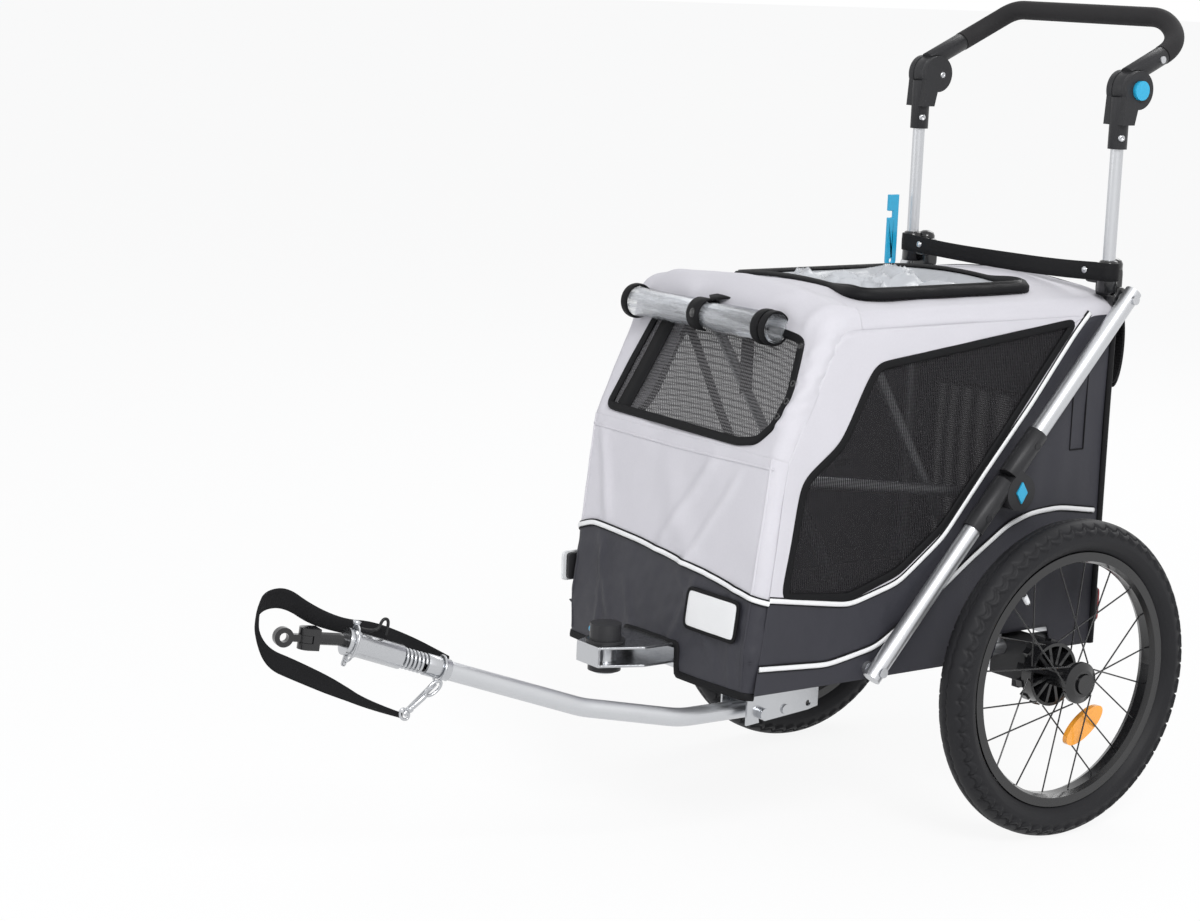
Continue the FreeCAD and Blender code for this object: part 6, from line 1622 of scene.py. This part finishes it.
@dataclass
class RearCorners:
    """Sleeves, bosses and caps where the posts and struts meet the hoop, and the band between them."""

    post_x: float = 180.0
    post_y: float = 109.0
    pivot: tuple[float, float] = (127.0, 660.0)
    sleeve: tuple = ((0.0, 8.2), (0.0, 12.6), (30.0, 12.4), (36.0, 12.0), (38.5, 10.6), (39.5, 8.2))
    boss: tuple = ((0.0, 0.01), (0.0, 13.5), (16.0, 13.5), (18.0, 12.0), (18.0, 0.01))
    cap: tuple = ((0.0, 0.01), (0.0, 11.5), (9.0, 11.5), (13.0, 9.6), (15.5, 5.0), (16.0, 0.01))
    rivet: tuple = ((0.0, 0.01), (0.0, 4.6), (1.2, 4.4), (2.2, 2.8), (2.5, 0.01))
    sides: int = 48
    band_top: float = 704.0
    band_half: float = 168.0
    band_wrap: float = 13.4
    band_slack: float = 5.0
    band_section: tuple = ((-11, -0.9), (-11.4, 0), (-11, 0.9), (-3, 1.2), (3, 1.2), (11, 0.9), (11.4, 0),
                           (11, -0.9))

    def corner(self, side: float, name: str) -> None:
        """One bracket: a sleeve round the post, a block behind it, a boss for the strut and a domed cap.

        Args:
            side: 1 on the left and -1 on the right.
            name: the side's name.
        """
        up = (0.0, 0.0, 1.0)
        builder = Builder(f"corner_fitting_{name}")
        builder.lathe(self.sleeve, (side * self.post_x, self.post_y, 668.0), up, self.sides, ring=True)
        builder.block((side * 169.0, 124.0, 679.0), (15.0, 11.0, 20.0), 0.35)
        builder.lathe(self.boss, (side * 170.5, *self.pivot), (side, 0.0, 0.0), self.sides)
        builder.lathe(self.cap, (side * 172.0, 127.0, 693.0), up, self.sides)
        builder.block((side * 158.0, 108.0, 689.0), (12.0, 5.5, 12.0), 0.4)
        piece = builder.build("rear_frame", GLOSS_BLACK, slot=PLASTIC.slot)
        if side > 0:
            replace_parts(piece, "corner_brackets")

    def band(self) -> None:
        """Webbing band from post to post, wrapped round each and a little slack, with rivets."""
        r, half = self.band_wrap, self.band_half
        x = np.linspace(-half, half, 120)
        wrap = np.linspace(0, math.pi * 0.9, 20)
        ends = np.stack([self.post_x + r * np.sin(wrap), self.post_y + r * np.cos(wrap)], 1)
        front = np.stack([x, self.post_y - r + 1.0 + 6 * np.cos(x / half * math.pi / 2) ** 2], 1)
        plan = rounded(resampled(np.vstack([ends * [-1, 1], front, ends[::-1]]), 260), 6, closed=False)
        slack = self.band_slack * (1 - np.clip(np.abs(plan[:, 0]) / half, 0, 1) ** 2)
        path = np.stack([plan[:, 0], plan[:, 1], self.band_top - 11 - slack], -1)
        ahead = unit(np.gradient(plan, axis=0))
        normal = np.stack([ahead[:, 1], -ahead[:, 0], 0.25 * np.sin(plan[:, 0] / 60)], -1)
        piece = Builder("rear_band").strip(path, normal, self.band_section).build("rear_frame", STRAP)
        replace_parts(piece, "cross_band")
        for side, name in SIDES:
            at = (side * 152.0, self.post_y - 12.6, self.band_top - 11.5)
            Builder(f"band_rivet_{name}").lathe(self.rivet, at, (0.0, -1.0, 0.0)).build("rear_frame", STEEL)

    def build(self) -> None:
        """Both corners and the band."""
        for side, name in SIDES:
            self.corner(side, name)
        self.band()


@dataclass
class SmallParts:
    """Mat on the floor, screws in the handle's joints and the tyres' valves."""

    mat_half: float = 180.0
    mat_y: tuple[float, float] = (-443.0, 118.0)
    mat_z: float = 238.9
    mat_turned_up: float = 16.0
    mat_turn_x: float = 158.0
    mat_wall: float = 1.2
    screws: tuple = (("handle_screw_near", (191.0, 103.6, 860.0), (0.9, -0.43, 0.0)),
                     ("handle_screw_far", (-169.0, 103.6, 861.0), (0.9, -0.43, 0.0)),
                     ("handle_screw_disc", (-163.6, 131.0, 918.0), (1.0, 0.0, 0.0)))
    screw: tuple = ((-1.5, 0.01), (-1.5, 4.4), (0.8, 4.4), (1.8, 3.4), (2.3, 1.6), (1.4, 1.4), (1.4, 0.01))
    wheel: tuple[float, float] = (257.0, 200.0)
    valve_turn: float = 35.0
    valve_at: float = 136.0
    valve_cap: tuple = ((2.0, 0.01), (2.0, 3.7), (0.0, 3.9), (-8.0, 3.7), (-11.0, 3.0), (-12.5, 1.6),
                        (-12.8, 0.01))

    def floor_mat(self) -> None:
        """A dark mat laid wall to wall, which closes the gap beside the floor board."""
        half = self.mat_half
        y, x = np.meshgrid(np.linspace(*self.mat_y, 80), np.linspace(-half, half, 60), indexing="ij")
        flat = np.stack([y, x], -1)
        edge = smooth((np.abs(x) - self.mat_turn_x) / (half - self.mat_turn_x))
        z = self.mat_z + 0.5 * waves(y, x, 90, 3.3) + self.mat_turned_up * edge
        mat = Builder("floor_mat").grid(np.stack([x, y, z], -1), pattern=flat)
        piece = mat.sew(DARK_CLOTH, thickness=self.mat_wall)
        declare(flat)

    def build(self) -> None:
        """All the small parts."""
        self.floor_mat()
        for name, at, out in self.screws:
            Builder(name).lathe(self.screw, at, out).build("rear_frame", STEEL)
        turn = math.radians(self.valve_turn)
        out = np.array([0.0, -math.sin(turn), math.cos(turn)])
        for side, name in SIDES:
            at = np.array([side * self.wheel[0], 0.0, self.wheel[1]]) + out * self.valve_at
            Builder(f"valve_cap_{name}").lathe(self.valve_cap, at, out).build(f"wheel_{name}", PALE_LENS)


@dataclass
class Tyre:
    """Tyre with a moulded tread: a section turned about the axle and raised where rubber blocks are."""

    radius: float = 200.0
    section: float = 47.0
    depth: float = 43.0
    wheel_x: float = 257.0
    blocks: int = 60
    turns: int = 720
    rows: int = 80
    tread: float = 3.2
    tread_border: float = 58.0
    tread_scallop: float = 18.0
    loop_low: float = 34.0
    loop_rise: float = 21.0
    ribs: tuple = ((96, 2.2), (120, 1.8))
    rib_height: float = 0.5

    def height(self, around: Array, phi: Array) -> Array:
        """How far the rubber stands off the section: blocks between slots and grooves, and two ribs.

        Args:
            around: angle about the axle.
            phi: angle round the section, 0 at the tread's middle.

        Returns:
            Heights in millimetres.
        """
        across = np.degrees(np.abs(phi))
        swing = np.sin(around * self.blocks / 2)
        wave = np.abs(swing)
        top = smooth((self.tread_border + self.tread_scallop * wave - across) / 4.0)
        zigzag = 6.0 * np.abs(((around * self.blocks / 2 / math.pi) % 1) * 2 - 1) - 3.0
        groove = 1 - np.exp(-(((np.degrees(phi) - zigzag) / 2.4) ** 2))
        slots = 1 - 0.95 * np.exp(-(((across - (self.loop_low + self.loop_rise * wave)) / 2.6) ** 2))
        slots *= 1 - 0.9 * np.exp(-((swing / 0.16) ** 2)) * smooth((across - 36) / 5)
        rib = sum(self.rib_height * np.exp(-(((across - at) / wide) ** 2)) for at, wide in self.ribs)
        return self.tread * top * groove * slots + rib

    def build(self) -> None:
        """Make both tyres."""
        around = np.linspace(0, FULL_TURN, self.turns, endpoint=False)[:, None]
        phi = np.linspace(-math.pi, math.pi, self.rows, endpoint=False)[None, :]
        height = self.height(around, phi)
        a, b = self.section / 2 - 1.6, self.depth / 2 - 2.4
        shape = 1.0 + 0.06 * np.cos(2 * phi) ** 2
        px = (a * shape + height) * np.sin(phi)
        pr = self.radius - self.depth / 2 + (b * np.minimum(shape, 1.02) + height * 0.75) * np.cos(phi)
        pr = np.minimum(pr, self.radius)
        flat = np.stack(np.broadcast_arrays(around * self.radius, phi * a), -1)
        for side, name in SIDES:
            pts = np.stack([side * (self.wheel_x + px), pr * np.cos(around), self.radius + pr * np.sin(around)], -1)
            tyre = Builder(f"tread_tyre_{name}").grid(pts, wrap_u=True, wrap_v=True, pattern=flat)
            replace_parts(tyre.build(f"wheel_{name}", TYRE), f"tyre_{name}")


@dataclass(frozen=True)
class Dressing:
    """Finishes of the CAD nodes, and the small bevel on those that show their edges."""

    nodes: tuple = (
        (TUBE, ("floor_frame", "rear_hoop", "handle_posts", "handle_bar", "lower_struts", "upper_struts",
                "front_hoop", "ledge_hoop", "tow_bar")),
        (STEEL, ("axle", "tow_bracket", "wheel_socket", "tow_spring", "hitch_socket", "tether_fittings",
                 "tow_lock_pin", "parking_brake")),
        (PLASTIC, ("axle_receivers", "socket_caps", "handle_sockets", "handle_arms", "lower_knuckles",
                   "upper_knuckles")),
        (GLOSS_BLACK, ("rim_left", "rim_right", "spokes_left", "spokes_right", "hub_left", "hub_right",
                       "coupler_stem", "axle_coupler", "hitch_pin", "axle_button_left", "axle_button_right")),
        (BLUE, ("handle_button_left", "handle_button_right", "strut_button_left", "strut_button_right",
                "socket_button", "fold_hook")),
        (FOAM, ("handle_grip",)),
        (AMBER, ("wheel_reflector_left", "wheel_reflector_right")),
        (BOARD, ("floor_panel",)),
    )
    bevelled: tuple = ("tow_bracket", "wheel_socket", "hitch_socket")
    bevel_width: float = 0.0009
    bevel_segments: int = 2
    bevel_angle: float = 38.0
    weld_reach: float = 0.00001

    def soften(self, node: bpy.types.Object) -> None:
        """Bevel a node's sharp edges, once its loose triangles are joined."""
        weld = node.modifiers.new("weld", "WELD")
        weld.merge_threshold = self.weld_reach
        bevel = node.modifiers.new("bevel", "BEVEL")
        bevel.width = self.bevel_width
        bevel.segments = self.bevel_segments
        bevel.limit_method = "ANGLE"
        bevel.angle_limit = math.radians(self.bevel_angle)
        bevel.harden_normals = True

    def build(self) -> None:
        """Dress every node."""
        for finish, names in self.nodes:
            for name in names:
                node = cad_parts[name]
                node.data.materials.clear()
                node.data.materials.append(finish.material())
                if finish in (PLASTIC, BLUE) or name in self.bevelled:
                    self.soften(node)


def main() -> None:
    """Build every class in order and report each piece."""
    logging.basicConfig(level=logging.INFO, format="%(message)s")
    for part in (Studio(), Dressing(), Tether(), Panels(), Rolls(), RearCorners(), SmallParts(), Tyre()):
        part.build()
    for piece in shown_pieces():
        LOG.info("piece %s, %d faces", piece.name, len(piece.data.polygons) if piece.type == "MESH" else 0)


if __name__ == "__main__":
    main()
